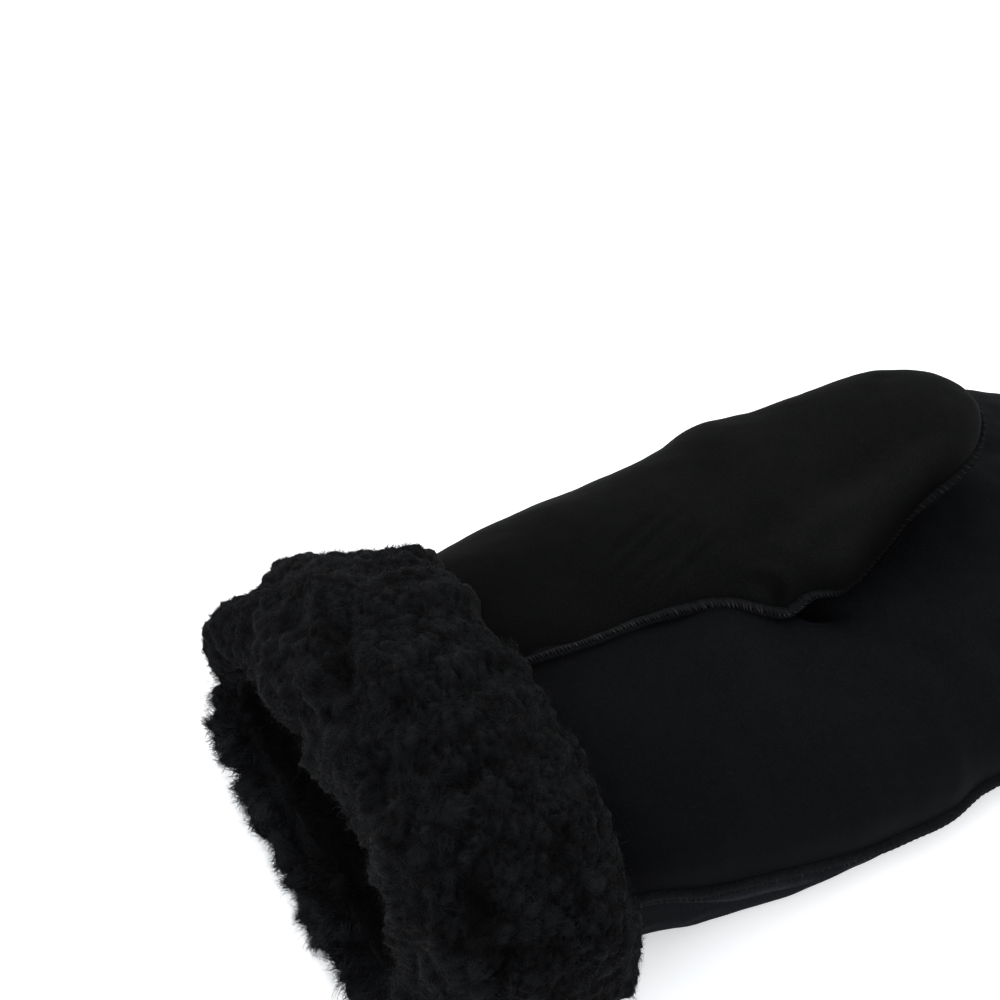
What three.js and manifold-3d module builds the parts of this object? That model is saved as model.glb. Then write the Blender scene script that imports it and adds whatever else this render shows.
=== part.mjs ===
// A left-hand sheepskin mitten that lies on its back, palm up, with its thumb on top of the palm
// and its woolly cuff turned up. Millimetres, +X towards the fingertips, +Y towards the thumb, +Z up.
// The tables count x from the front edge of the cuff's wool, and the group moves it all to the origin.

import * as THREE from 'three';
import Module from 'manifold-3d';

const wasm = await Module();
wasm.setup();
const { Manifold, Mesh } = wasm;

// Driving sizes
const LEATHER = 2.0;          // wall of the panels
const GAP = 0.3;              // between two pieces that touch
const LINING_WOOL = 5.5;      // pile inside the mouth
const MOUTH_X = -60;          // middle of the open end
const PANEL_START = -48;      // where the leather begins inside the cuff
const HOLLOW_START = -68;     // the hollow runs out past the mouth
const LINING_END = 12;
const FINGERTIP_X = 190;
const FINGERTIP_Y = 6;
const ROUND_FROM = 118;       // the hand narrows to its round end from here
const THUMB_TIP_X = 127.5;
const THUMB_TIP_Y = 23;
const THUMB_ROUND_FROM = 96;
const CROTCH_X = 62;          // here the thumb leaves the hand
const THUMB_SEAM_END = 108;   // on its far side the thumb is folded, not sewn, up to here
const RIDGE = { width: 3.0, height: 3.2 };
const SIDE_SEAM_SIZE = 0.92;  // of the ridge's own size
const JOG = 2.2;              // the near seam is drawn in by this much past x 80
const FAR_PULL = 4.5;         // the wool's front edge lies this much further back on the far side
const LOW_FAR_SWELL = 5.5;    // the wool stands out this much more over the hand's lower far edge
const SLANT = { acrossY: 0.13, overZ: 0.3, level: 22 };   // of the mouth's plane
const CENTRE = { x: 62.27, y: -3.23 };  // of the whole part's box, from the wool's front edge

// The hand, a row for each cross-section: its near and far side seams, the top of the palm's arch,
// how high the back of the hand lies over the floor, and how far it bulges out under the near seam
const HAND = [
  { x: -66, near: -43.0, nearZ: 23, far: 43, farZ: 24, top: 44.5, lift: 8, bulge: 1 },
  { x: -30, near: -45.0, nearZ: 23, far: 47, farZ: 21, top: 44.0, lift: 7, bulge: 2 },
  { x: 0, near: -46.0, nearZ: 22, far: 50, farZ: 18, top: 43.5, lift: 4.5, bulge: 5 },
  { x: 15, near: -47.8, nearZ: 16.5, far: 53, farZ: 15, top: 43.0, lift: 2, bulge: 4.8 },
  { x: 32, near: -50.0, nearZ: 12.5, far: 55, farZ: 13, top: 42.5, lift: 0, bulge: 4.2 },
  { x: 55, near: -52.0, nearZ: 9.5, far: 58, farZ: 12, top: 41.0, lift: 0, bulge: 2.7 },
  { x: 70, near: -52.2, nearZ: 8.2, far: 61, farZ: 12, top: 38.8, lift: 0, bulge: 0.5 },
  { x: 80, near: -51.8, nearZ: 8, far: 61, farZ: 12, top: 38.0, lift: 0, bulge: 0 },
  { x: 90, near: -51.2, nearZ: 8, far: 61, farZ: 12, top: 37.1, lift: 0, bulge: 0 },
  { x: 100, near: -50.3, nearZ: 8, far: 61, farZ: 12, top: 36.0, lift: 0, bulge: 0 },
  { x: 130, near: -46.9, nearZ: 9, far: 59, farZ: 13, top: 34.0, lift: 0, bulge: 0 },
  { x: 160, near: -44.0, nearZ: 10, far: 54, farZ: 13.5, top: 32.0, lift: 0, bulge: 0 },
  { x: 190, near: -40.0, nearZ: 12.5, far: 48, farZ: 12.5, top: 30.0, lift: 0, bulge: 0 },
];

// The thumb: its two side edges, the height of its middle and half of its thickness
const THUMB = [
  { x: -52, near: -12.0, far: 46.0, middle: 24.0, half: 20.8 },
  { x: 0, near: -12.0, far: 51.0, middle: 24.0, half: 20.5 },
  { x: 30, near: -4.5, far: 53.0, middle: 25.0, half: 21.5 },
  { x: 46, near: -2.0, far: 51.5, middle: 29.0, half: 19.5 },
  { x: 56, near: -6.5, far: 50.0, middle: 35.0, half: 15.5 },
  { x: 61, near: -5.6, far: 49.0, middle: 40.8, half: 12.0 },
  { x: 65, near: -6.0, far: 48.0, middle: 43.8, half: 10.0 },
  { x: 72, near: -8.7, far: 47.0, middle: 44.3, half: 10.1 },
  { x: 82, near: -6.2, far: 45.5, middle: 44.8, half: 10.4 },
  { x: 100, near: 1.9, far: 44.0, middle: 47.0, half: 10.5 },
  { x: 115, near: 4.8, far: 43.0, middle: 48.5, half: 11.0 },
  { x: 130, near: 9.0, far: 42.0, middle: 50.0, half: 10.5 },
];

// The wool of the cuff: its two sides and its top, over the floor
const CUFF = [
  { x: -61, near: -47.0, far: 37.0, top: 46, base: 7 },
  { x: -57, near: -58.0, far: 47.0, top: 57, base: 2 },
  { x: -49, near: -64.0, far: 54.0, top: 63, base: 0 },
  { x: -36, near: -66.5, far: 57.0, top: 65, base: 0 },
  { x: -22, near: -66.5, far: 54.5, top: 62.5, base: 0 },
  { x: -12, near: -64.5, far: 52.5, top: 58.5, base: 0 },
  { x: -7, near: -60.0, far: 51.5, top: 54, base: 1 },
  { x: -3, near: -53.0, far: 51.0, top: 49, base: 2 },
];

const mix = (a, b, t) => a + (b - a) * t;
const bent = (v, power) => Math.sign(v) * Math.abs(v) ** power;
const clamp = (v, low, high) => Math.min(high, Math.max(low, v));

// 0 before from, 1 past to, an S-curve between them
function smooth(from, to, v) {
  const t = clamp((v - from) / (to - from), 0, 1);
  return t * t * (3 - 2 * t);
}

// A column of a table at any x, smooth through its rows
function lookup(table, column, x) {
  const last = table.length - 1;
  const at = clamp(x, table[0].x, table[last].x);
  let i = 0;
  while (i < last - 1 && at > table[i + 1].x) i += 1;
  const slope = (k) => {
    const a = Math.max(k - 1, 0);
    const b = Math.min(k + 1, last);
    return (table[b][column] - table[a][column]) / (table[b].x - table[a].x);
  };
  const span = table[i + 1].x - table[i].x;
  const t = (at - table[i].x) / span;
  const t2 = t * t;
  const t3 = t2 * t;
  return (2 * t3 - 3 * t2 + 1) * table[i][column] + (t3 - 2 * t2 + t) * span * slope(i)
    + (3 * t2 - 2 * t3) * table[i + 1][column] + (t3 - t2) * span * slope(i + 1);
}

// 1 along the straight part, falling to 0 at the tip as a round end does
function roundEnd(x, from, tip, power) {
  const u = clamp((x - from) / (tip - from), 0, 1);
  return Math.sqrt(1 - u ** power);
}

// The open end leans: its lower lip and its thumb side stick out most
function slanted([x, y, z]) {
  const share = clamp(-x / 66, 0, 1);
  const push = -SLANT.acrossY * y + SLANT.overZ * (z - SLANT.level);
  return [x + share * push, y, z];
}

// The hand at one x, drawn in by the inset on every side
function handSection(x, inset) {
  const end = roundEnd(x, ROUND_FROM, FINGERTIP_X - inset, 2.4);
  const nearZ = lookup(HAND, 'nearZ', x);
  const farZ = lookup(HAND, 'farZ', x);
  const near = mix(FINGERTIP_Y, lookup(HAND, 'near', x) + inset, end);
  const far = mix(FINGERTIP_Y, lookup(HAND, 'far', x) - inset, end);
  const rise = (lookup(HAND, 'top', x) - inset - (nearZ + farZ) / 2) * end ** 0.8;
  const lift = Math.max(lookup(HAND, 'lift', x), 0) + inset;
  return { near, far, nearZ, farZ, rise, lift, end };
}

const seamZ = (row, share) => mix(row.nearZ, row.farZ, share);

// How far a pleat draws the near edge in, share 0, and the leather beside it less
function drawnIn(x, share) {
  return JOG * smooth(79, 90, x) * smooth(150, 96, x) * Math.max(1 - share, 0) ** 6;
}

function palmPoint(x, inset, turn) {
  const row = handSection(x, inset);
  const share = (1 - Math.cos(turn)) / 2;
  const lean = turn + 0.28 * Math.sin(turn) ** 2;
  const z = seamZ(row, share) + row.rise * Math.max(Math.sin(lean), 0) ** 0.85;
  return [x, mix(row.near, row.far, share) + drawnIn(x, share), z];
}

function backPoint(x, inset, turn) {
  const row = handSection(x, inset);
  const share = (1 - Math.cos(turn)) / 2;
  const drop = clamp(1.06 * Math.sin(turn) ** 0.55, 0, 1) * row.end ** 0.6;
  const seam = seamZ(row, share);
  const full = clamp(lookup(HAND, 'bulge', x) / 4, 0, 1);
  const spread = bent(Math.cos(turn), mix(0.6, 0.3, full));
  const out = turn < Math.PI / 2 ? lookup(HAND, 'bulge', x) * Math.sqrt(Math.max(Math.sin(2 * turn), 0)) : 0;
  const y = mix(row.near, row.far, (1 - spread) / 2) + drawnIn(x, (1 - spread) / 2) - out;
  return [x, y, seam - Math.max(seam - row.lift, 0) * drop];
}

function thumbSection(x, inset) {
  const end = roundEnd(x, THUMB_ROUND_FROM, THUMB_TIP_X - inset, 2.6);
  return {
    near: mix(THUMB_TIP_Y, lookup(THUMB, 'near', x) + inset, end),
    far: mix(THUMB_TIP_Y, lookup(THUMB, 'far', x) - inset, end),
    middle: lookup(THUMB, 'middle', x),
    half: (lookup(THUMB, 'half', x) - inset) * end ** 0.8,
  };
}

function thumbPoint(x, inset, turn) {
  const row = thumbSection(x, inset);
  const y = (row.near + row.far) / 2 - (row.far - row.near) / 2 * bent(Math.cos(turn), 0.9);
  return [x, y, row.middle + row.half * bent(Math.sin(turn), 0.9)];
}

// The cuff, whose section is rounder on its far side than on its near one, but squarest and swollen out where
// it wraps the hand's lower far edge
function cuffPoint(x, turn) {
  const near = lookup(CUFF, 'near', x);
  const far = lookup(CUFF, 'far', x);
  const top = lookup(CUFF, 'top', x);
  const base = lookup(CUFF, 'base', x);
  const farShare = (1 - Math.cos(turn)) / 2;
  const lowFar = smooth(0, -0.7, Math.sin(turn)) * smooth(0.45, 0.8, farShare) * smooth(-60, -46, x);
  const power = mix(mix(0.85, 1, farShare), 0.55, lowFar);
  const y = (near + far) / 2 - (far - near) / 2 * bent(Math.cos(turn), power) + LOW_FAR_SWELL * lowFar;
  const z = (top + base) / 2 + (top - base) / 2 * bent(Math.sin(turn), power);
  const pull = FAR_PULL * smooth(0.46, 0.7, farShare) * smooth(-28, -2, x);
  return [x - pull, y, z];
}

// Heights of the palm and of the thumb's top over one point, for the valley between them
function palmHeight(x, y) {
  const row = handSection(x, 0);
  const turn = Math.acos(clamp(1 - 2 * (y - row.near) / (row.far - row.near), -1, 1));
  return palmPoint(x, 0, turn)[2];
}

function thumbHeight(x, y) {
  const row = thumbSection(x, 0);
  const share = clamp(((row.near + row.far) / 2 - y) / ((row.far - row.near) / 2), -1, 1);
  return thumbPoint(x, 0, Math.acos(bent(share, 1 / 0.9)))[2];
}

// The thumb's top comes out of the palm along this line
function valleyPoint(x) {
  let low = thumbSection(x, 0).near;
  let high = 22;
  for (let step = 0; step < 30; step += 1) {
    const y = (low + high) / 2;
    if (thumbHeight(x, y) > palmHeight(x, y)) high = y;
    else low = y;
  }
  return [x, high, palmHeight(x, high)];
}

// A closed solid through rings with the same number of points, with a fan at both ends
function loft(rings) {
  const sides = rings[0].length;
  const points = rings.flat();
  const middle = (ring) => [0, 1, 2].map((k) => ring.reduce((sum, p) => sum + p[k], 0) / sides);
  points.push(middle(rings[0]), middle(rings[rings.length - 1]));
  const faces = [];
  const lastRing = (rings.length - 1) * sides;
  for (let side = 0; side < sides; side += 1) {
    const next = (side + 1) % sides;
    for (let row = 0; row < lastRing; row += sides) {
      faces.push(row + side, row + sides + side, row + sides + next);
      faces.push(row + side, row + sides + next, row + next);
    }
    faces.push(points.length - 2, side, next);
    faces.push(points.length - 1, lastRing + next, lastRing + side);
  }
  const solid = new Manifold(new Mesh({
    numProp: 3,
    vertProperties: new Float32Array(points.flat()),
    triVerts: new Uint32Array(faces),
  }));
  return solid.volume() > 0 ? solid : turnedOut(points, faces);
}

function turnedOut(points, faces) {
  const flipped = [];
  for (let i = 0; i < faces.length; i += 3) flipped.push(faces[i], faces[i + 2], faces[i + 1]);
  return new Manifold(new Mesh({
    numProp: 3,
    vertProperties: new Float32Array(points.flat()),
    triVerts: new Uint32Array(flipped),
  }));
}

// Stations along a tube with a round tip: even at first, then closer and closer
function stations(from, roundFrom, tip, evenSteps, roundSteps) {
  const list = [];
  for (let i = 0; i < evenSteps; i += 1) list.push(mix(from, roundFrom, i / evenSteps));
  for (let i = 0; i <= roundSteps; i += 1) {
    const turn = Math.PI / 2 * i / (roundSteps + 0.35);
    list.push(mix(roundFrom, tip, Math.sin(turn)));
  }
  return list;
}

const ringOf = (steps, point) => Array.from({ length: steps }, (_, i) => point(i / steps)).map(slanted);

// The inner solids have fewer sides, which only makes the walls a little thicker
function handSolid(inset, from, fine = inset <= 0) {
  const xs = stations(from, ROUND_FROM, FINGERTIP_X - inset, fine ? 12 : 9, fine ? 7 : 5);
  return loft(xs.map((x) => ringOf(fine ? 28 : 20, (share) => (share < 0.5
    ? palmPoint(x, inset, share * 2 * Math.PI)
    : backPoint(x, inset, (1 - share) * 2 * Math.PI)))));
}

function thumbSolid(inset, from, fine = inset <= 0) {
  const xs = stations(from, THUMB_ROUND_FROM, THUMB_TIP_X - inset, fine ? 9 : 7, fine ? 6 : 4);
  return loft(xs.map((x) => ringOf(fine ? 20 : 14, (share) => thumbPoint(x, inset, share * 2 * Math.PI))));
}

// Everything over the surface that joins the near and the far side seam
function overSeams(raise) {
  const xs = [-90, -60, -30, 0, 15, 24, 32, 44, 55, 70, 90, 130, 160, 220];
  const reach = 140;
  return loft(xs.map((x) => {
    const nearZ = lookup(HAND, 'nearZ', x) + raise;
    const farZ = lookup(HAND, 'farZ', x) + raise;
    const near = lookup(HAND, 'near', x);
    const far = lookup(HAND, 'far', x);
    const section = [[-reach, nearZ], [near, nearZ], [far, farZ], [reach, farZ], [reach, 150], [-reach, 150]];
    return section.map(([y, z]) => slanted([x, y, z]));
  }));
}

// Everything over the middle of the free part of the thumb, or under it
function besideThumbMiddle(from, shift, height) {
  const xs = [from, 66, 72, 78, 84, 100, 115, 140];
  return loft(xs.map((x) => {
    const z = lookup(THUMB, 'middle', x) + shift;
    return [[x, -80, z], [x, 120, z], [x, 120, height], [x, -80, height]];
  }));
}

function box(low, high) {
  const size = low.map((v, k) => high[k] - v);
  return Manifold.cube(size).translate(low);
}

// Everything between two cross-sections, which lean as the open end does
function between(from, to) {
  const square = [[-100, -50], [100, -50], [100, 120], [-100, 120]];
  return loft([from, to].map((x) => square.map(([y, z]) => slanted([x, y, z]))));
}

// A raised seam along a path, a bar with a rounded top, its foot in the fold
function ridgeSolid(path) {
  const { width, height } = RIDGE;
  const profile = [[-0.5, -0.35], [-0.5, 0.42], [0, 0.7], [0.5, 0.42], [0.5, -0.35]];
  return loft(path.map(({ at, out, side, size }) => profile.map(([across, up]) => (
    at.map((v, k) => v + side[k] * across * width * size + out[k] * up * height * size)))));
}

const minus = (a, b) => a.map((v, k) => v - b[k]);
const unit = (v) => v.map((c) => c / Math.hypot(...v));
const cross = (a, b) => [
  a[1] * b[2] - a[2] * b[1],
  a[2] * b[0] - a[0] * b[2],
  a[0] * b[1] - a[1] * b[0],
];

// Turns points and their outward directions into a path with a side direction and a size at each point
function framed(points, outward, sizeOf = () => 1) {
  return points.map((at, i) => {
    const along = unit(minus(points[Math.min(i + 1, points.length - 1)], points[Math.max(i - 1, 0)]));
    const side = unit(cross(along, outward[i]));
    return { at, out: cross(side, along), side, size: sizeOf(at) };
  });
}

function sideSeamPath() {
  const xs = stations(-4, ROUND_FROM, FINGERTIP_X, 12, 9);
  const near = xs.map((x) => palmPoint(x, 0, 0));
  const far = xs.map((x) => palmPoint(x, 0, Math.PI)).reverse();
  const points = [...near, [FINGERTIP_X, FINGERTIP_Y, near[near.length - 1][2]], ...far];
  const middle = [70, FINGERTIP_Y];
  const outward = points.map(([x, y]) => (x < 100
    ? [0, Math.sign(y - middle[1]), 0]
    : unit([(x - 100) * 0.9, (y - middle[1]) * 1.3, 0])));
  return framed(points.map(slanted), outward, () => SIDE_SEAM_SIZE);
}

// Past the crotch the thumb's seam is smaller, and on its near edge it is turned in until before the tip
function thumbSeamSize([x, y]) {
  const free = smooth(CROTCH_X + 4, CROTCH_X + 10, x);
  const hidden = y > THUMB_TIP_Y ? 0 : free * smooth(106, 92, x);
  return 1 - 0.3 * free - 0.2 * hidden;
}

function thumbSeamPath() {
  const valley = [];
  for (let x = -4; x < CROTCH_X - 3; x += 6) valley.push(slanted(valleyPoint(x)));
  const free = stations(CROTCH_X, THUMB_ROUND_FROM, THUMB_TIP_X, 6, 7);
  const near = free.map((x) => thumbPoint(x, 0, 0));
  const far = free.filter((x) => x > THUMB_SEAM_END).map((x) => thumbPoint(x, 0, Math.PI)).reverse();
  const tipHeight = near[near.length - 1][2];
  const points = [...valley, ...near, [THUMB_TIP_X, THUMB_TIP_Y, tipHeight], ...far];
  const outward = points.map(([x, y], i) => {
    if (i < valley.length) {
      const turn = i / valley.length;
      return unit([0, -0.25 - 0.75 * turn ** 4, 1 - 0.7 * turn ** 4]);
    }
    if (x < THUMB_ROUND_FROM) return unit([0.1, -1, 0.15]);
    return unit([(x - THUMB_ROUND_FROM) * 1.1 + 2, (y - THUMB_TIP_Y) * 1.2, 0]);
  });
  return framed(points, outward, thumbSeamSize);
}

// One lock of wool: a short lump on a four-sided foot that leans over to one side
function lockSolid(foot, out, along, length, thick, bend) {
  const side = unit(cross(out, along));
  const level = (up, size, shift) => [[1, 0], [0, 1], [-1, 0], [0, -1]].map(([a, b]) => (
    foot.map((v, k) => v + out[k] * up * length + along[k] * (a * size * thick + shift * bend)
      + side[k] * b * size * thick)));
  return loft([level(-0.6, 0.9, 0), level(0.6, 0.8, 0.3), level(1, 0.25, 1)]);
}

// Repeatable numbers between 0 and 1
function randomNumbers(seed) {
  let state = seed;
  return () => {
    state = (state * 16807) % 2147483647;
    return state / 2147483647;
  };
}

function cuffWool() {
  const xs = [-61, -59.5, -57, -53, -46, -38, -30, -22, -15, -9, -5, -2.5];
  const lumpy = ([x, y, z], turn) => {
    const lump = 1.1 * Math.sin(turn * 11 + x * 0.35) * Math.sin(x * 0.33 + 1.3 * Math.sin(turn * 5));
    const out = [y + 4, z - 31];
    const reach = Math.hypot(...out);
    return [x, y + out[0] / reach * lump, z + out[1] / reach * lump];
  };
  const skin = loft(xs.map((x) => ringOf(38, (share) => {
    const turn = share * 2 * Math.PI;
    return lumpy(cuffPoint(x, turn), turn);
  })));
  const random = randomNumbers(7226);
  const locks = [];
  const rows = 6;
  const count = 12;
  for (let row = 0; row < rows; row += 1) {
    for (let i = 0; i < count; i += 1) {
      const turn = (i + 0.5 * (row % 2) + 0.5 * random()) / count * 2 * Math.PI;
      const x = mix(-58.5, -6, (row + 0.4 * random()) / (rows - 0.6));
      const foot = slanted(cuffPoint(x, turn));
      const lean = 2 * Math.PI * random();
      const size = 4.6 + 1.8 * random();
      const length = 2.6 + 1.2 * random();
      if (foot[2] < 6) continue;
      const atMouth = clamp((-50 - x) / 10, 0, 1);
      const out = unit([-0.9 * atMouth, (foot[1] + 4) / 60, (foot[2] - 31) / 33]);
      const across = unit(cross(out, [1, 0, 0]));
      const along = unit(cross(across, out)).map((v, k) => v * Math.cos(lean) + across[k] * Math.sin(lean));
      locks.push(lockSolid(foot, out, along, length, size, 3.5));
    }
  }
  return Manifold.union([skin, ...locks]);
}

const LEATHER_PALM = new THREE.MeshStandardMaterial({ color: 0x17181b, roughness: 0.95, metalness: 0 });
const LEATHER_THUMB = new THREE.MeshStandardMaterial({ color: 0x191a19, roughness: 0.95, metalness: 0 });
const THREAD = new THREE.MeshStandardMaterial({ color: 0x26262a, roughness: 0.8, metalness: 0 });
const WOOL = new THREE.MeshStandardMaterial({ color: 0x111215, roughness: 1, metalness: 0 });

function meshOf(name, solid, material) {
  const parts = solid.decompose().sort((a, b) => b.volume() - a.volume());
  const { vertProperties, triVerts, numProp } = parts[0].getMesh();
  const position = new Float32Array(triVerts.length * 3);
  triVerts.forEach((vertex, i) => {
    for (let k = 0; k < 3; k += 1) position[i * 3 + k] = vertProperties[vertex * numProp + k];
  });
  const geometry = new THREE.BufferGeometry();
  geometry.setAttribute('position', new THREE.BufferAttribute(position, 3));
  geometry.computeVertexNormals();
  const mesh = new THREE.Mesh(geometry, material);
  mesh.name = name;
  return mesh;
}

// The shells
const over = overSeams(GAP / 2);
const under = overSeams(-GAP / 2);
const handOuter = handSolid(0, PANEL_START);
const handInner = handSolid(LEATHER, HOLLOW_START);
const thumbOuter = thumbSolid(0, PANEL_START).intersect(over);
const thumbInside = thumbSolid(LEATHER, PANEL_START - 10);
const hollow = handInner.add(thumbInside.intersect(overSeams(LEATHER)));
const shell = handOuter.add(thumbOuter).subtract(hollow);
const aroundHand = handSolid(-GAP, PANEL_START - GAP);
const aroundThumb = thumbSolid(-GAP, PANEL_START - GAP);

const back = shell.subtract(under);
const palm = shell.intersect(over).subtract(aroundThumb);
const thumb = shell.intersect(over).intersect(thumbOuter);
const thumbUnderside = besideThumbMiddle(CROTCH_X + 1, -GAP / 2, -50);
const notThumbPanel = besideThumbMiddle(CROTCH_X + 1 - GAP, GAP / 2, -50);

const leather = aroundHand.add(aroundThumb);
const sideSeam = ridgeSolid(sideSeamPath()).subtract(leather);
const thumbSeam = ridgeSolid(thumbSeamPath()).subtract(leather).subtract(sideSeam);

const floor = box([-400, -400, -400], [400, 400, 0]);
const woolClear = ridgeSolid(sideSeamPath()).add(ridgeSolid(thumbSeamPath()));
const cuff = cuffWool()
  .subtract(leather)
  .subtract(handInner)
  .subtract(woolClear)
  .subtract(floor);
const lining = handSolid(LEATHER + GAP, HOLLOW_START)
  .subtract(handSolid(LEATHER + GAP + LINING_WOOL, HOLLOW_START - 10))
  .intersect(between(MOUTH_X, LINING_END));

const group = new THREE.Group();
group.add(
  meshOf('back_panel', back, LEATHER_PALM),
  meshOf('palm_panel', palm, LEATHER_PALM),
  meshOf('thumb_panel', thumb.subtract(notThumbPanel), LEATHER_THUMB),
  meshOf('thumb_underside', thumb.intersect(thumbUnderside), LEATHER_PALM),
  meshOf('side_seam', sideSeam, THREAD),
  meshOf('thumb_seam', thumbSeam, THREAD),
  meshOf('wool_cuff', cuff, WOOL),
  meshOf('wool_lining', lining, WOOL),
);
group.position.set(-CENTRE.x, -CENTRE.y, 0);

export default group;
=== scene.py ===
import bpy
import numpy as np
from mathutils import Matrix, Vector


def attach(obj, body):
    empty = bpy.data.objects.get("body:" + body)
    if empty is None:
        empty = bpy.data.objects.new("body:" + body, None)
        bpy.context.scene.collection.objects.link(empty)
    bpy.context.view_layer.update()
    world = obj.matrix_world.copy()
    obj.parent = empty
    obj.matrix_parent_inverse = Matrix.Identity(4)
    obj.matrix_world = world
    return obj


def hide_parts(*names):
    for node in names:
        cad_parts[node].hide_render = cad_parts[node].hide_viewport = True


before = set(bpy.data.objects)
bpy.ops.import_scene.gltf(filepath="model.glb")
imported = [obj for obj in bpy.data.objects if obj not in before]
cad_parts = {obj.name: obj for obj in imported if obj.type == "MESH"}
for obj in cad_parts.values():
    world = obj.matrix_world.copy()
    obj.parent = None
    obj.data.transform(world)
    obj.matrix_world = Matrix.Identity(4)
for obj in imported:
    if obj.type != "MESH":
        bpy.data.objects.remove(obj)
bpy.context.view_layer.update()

# Palm panel
# One cut of black sheepskin, suede side out and wool side in, which arches over the hand from side seam
# to side seam. It has a large hole where the thumb's own skin is let in along the thumb seam.
MM = 0.001
BOX_MIDDLE = np.array([62.27, -3.23, 0.0])  # the tables count x from the wool's front edge, in millimetres
LEATHER = 2.0
PANEL_START = -48.0
HAND_TIP = (190.0, 6.0)
HAND_ROUND_FROM = 118.0
THUMB_ROUND_FROM = 96.0
THUMB_TIP = (127.5, 23.0)
CROTCH = 62.0
SLANT_ACROSS, SLANT_OVER, SLANT_LEVEL = 0.13, 0.3, 22.0
PLEAT = 2.2


def table(columns, *rows):
    """Named columns of numbers, one row for each cross-section."""
    return dict(zip(columns.split(), np.array(rows, float).T))


HAND = table(
    "x near near_z far far_z top lift bulge",
    (-66, -43, 23, 43, 24, 44.5, 8, 1),
    (-30, -45, 23, 47, 21, 44, 7, 2),
    (0, -46, 22, 50, 18, 43.5, 4.5, 5),
    (15, -47.8, 16.5, 53, 15, 43, 2, 4.8),
    (32, -50, 12.5, 55, 13, 42.5, 0, 4.2),
    (55, -52, 9.5, 58, 12, 41, 0, 2.7),
    (70, -52.2, 8.2, 61, 12, 38.8, 0, 0.5),
    (80, -51.8, 8, 61, 12, 38, 0, 0),
    (90, -51.2, 8, 61, 12, 37.1, 0, 0),
    (100, -50.3, 8, 61, 12, 36, 0, 0),
    (130, -46.9, 9, 59, 13, 34, 0, 0),
    (160, -44, 10, 54, 13.5, 32, 0, 0),
    (190, -40, 12.5, 48, 12.5, 30, 0, 0),
)


def along(rows, column, x):
    """A column at any x: cubic Hermite pieces through the rows, each row's slope that of the line from the
    row before it to the row after it."""
    xs, ys = rows["x"], rows[column]
    before = np.maximum(np.arange(len(xs)) - 1, 0)
    after = np.minimum(np.arange(len(xs)) + 1, len(xs) - 1)
    slope = (ys[after] - ys[before]) / (xs[after] - xs[before])
    at = np.clip(x, xs[0], xs[-1])
    i = np.clip(np.searchsorted(xs, at, side="right") - 1, 0, len(xs) - 2)
    span = xs[i + 1] - xs[i]
    t = (at - xs[i]) / span
    start = (2 * t**3 - 3 * t**2 + 1) * ys[i] + (t**3 - 2 * t**2 + t) * span * slope[i]
    return start + (3 * t**2 - 2 * t**3) * ys[i + 1] + (t**3 - t**2) * span * slope[i + 1]


def mix(a, b, share):
    """Straight from a at 0 to b at 1."""
    return a + (b - a) * share


def smooth(low, high, v):
    """0 below low, 1 above high, an S-curve between them."""
    t = np.clip((v - low) / (high - low), 0, 1)
    return t * t * (3 - 2 * t)


def bent(v, power):
    """|v| to a power, with v's sign."""
    return np.sign(v) * np.abs(v) ** power


def round_end(x, start, tip, power):
    """1 before start, then the root of 1 - u^power, which is 0 at the tip."""
    u = np.clip((x - start) / (tip - start), 0, 1)
    return np.sqrt(1 - u**power)


def stacked(x, y, z):
    """Points from three arrays, leaned as the open end leans: x grows by a share of height and of -y."""
    x, y, z = np.broadcast_arrays(x, y, z)
    share = np.clip(-x / 66, 0, 1)
    push = SLANT_OVER * (z - SLANT_LEVEL) - SLANT_ACROSS * y
    return np.stack([x + share * push, y, z], -1)


def hand_section(x, inset):
    """The hand's edges, seam heights, arch and lift at x, each drawn in by the inset, and how open the hand
    still is there, from 1 down to 0 at its tip."""
    end = round_end(x, HAND_ROUND_FROM, HAND_TIP[0] - inset, 2.4)
    near_z, far_z = along(HAND, "near_z", x), along(HAND, "far_z", x)
    near = mix(HAND_TIP[1], along(HAND, "near", x) + inset, end)
    far = mix(HAND_TIP[1], along(HAND, "far", x) - inset, end)
    rise = (along(HAND, "top", x) - inset - (near_z + far_z) / 2) * end**0.8
    lift = np.maximum(along(HAND, "lift", x), 0) + inset
    return near, far, near_z, far_z, rise, lift, end


def drawn_in(x, share):
    """The pleat: past x 80 the near seam, share 0, is drawn in by up to PLEAT, and the leather beside it
    less."""
    return PLEAT * smooth(79, 90, x) * smooth(150, 96, x) * np.maximum(1 - share, 0) ** 6


def palm_point(x, inset, turn):
    """turn 0 is the near side seam and pi the far one: y goes as a cosine from edge to edge, and the height
    over the seams as a power 0.85 of a sine that leans a little to the far side."""
    near, far, near_z, far_z, rise, lift, end = hand_section(x, inset)
    share = (1 - np.cos(turn)) / 2
    lean = np.maximum(np.sin(turn + 0.28 * np.sin(turn) ** 2), 0)
    y = mix(near, far, share) + drawn_in(x, share)
    return stacked(x, y, mix(near_z, far_z, share) + rise * lean**0.85)


def stations(start, round_from, tip, even, rounded):
    """Places along a tube with a round tip: evenly to round_from, then as a sine to just before the tip."""
    turn = np.pi / 2 * np.arange(rounded + 1) / (rounded + 0.35)
    straight = np.linspace(start, round_from, even, endpoint=False)
    return np.concatenate([straight, mix(round_from, tip, np.sin(turn))])


def panel_rows(start, round_from, tip, counts):
    """Stations for a panel's outer grid, and for its inner one, which has half as many and ends before it by
    the leather's thickness. Both are columns."""
    inner = stations(start, round_from, tip - LEATHER, *counts)[::2]
    return stations(start, round_from, tip, *counts)[:, None], inner[:, None]


def inside(v, end, width):
    """0 at both ends of the range from 0 to end, 1 from the given width inwards."""
    return smooth(0, width, v) * smooth(end, end - width, v)


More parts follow.
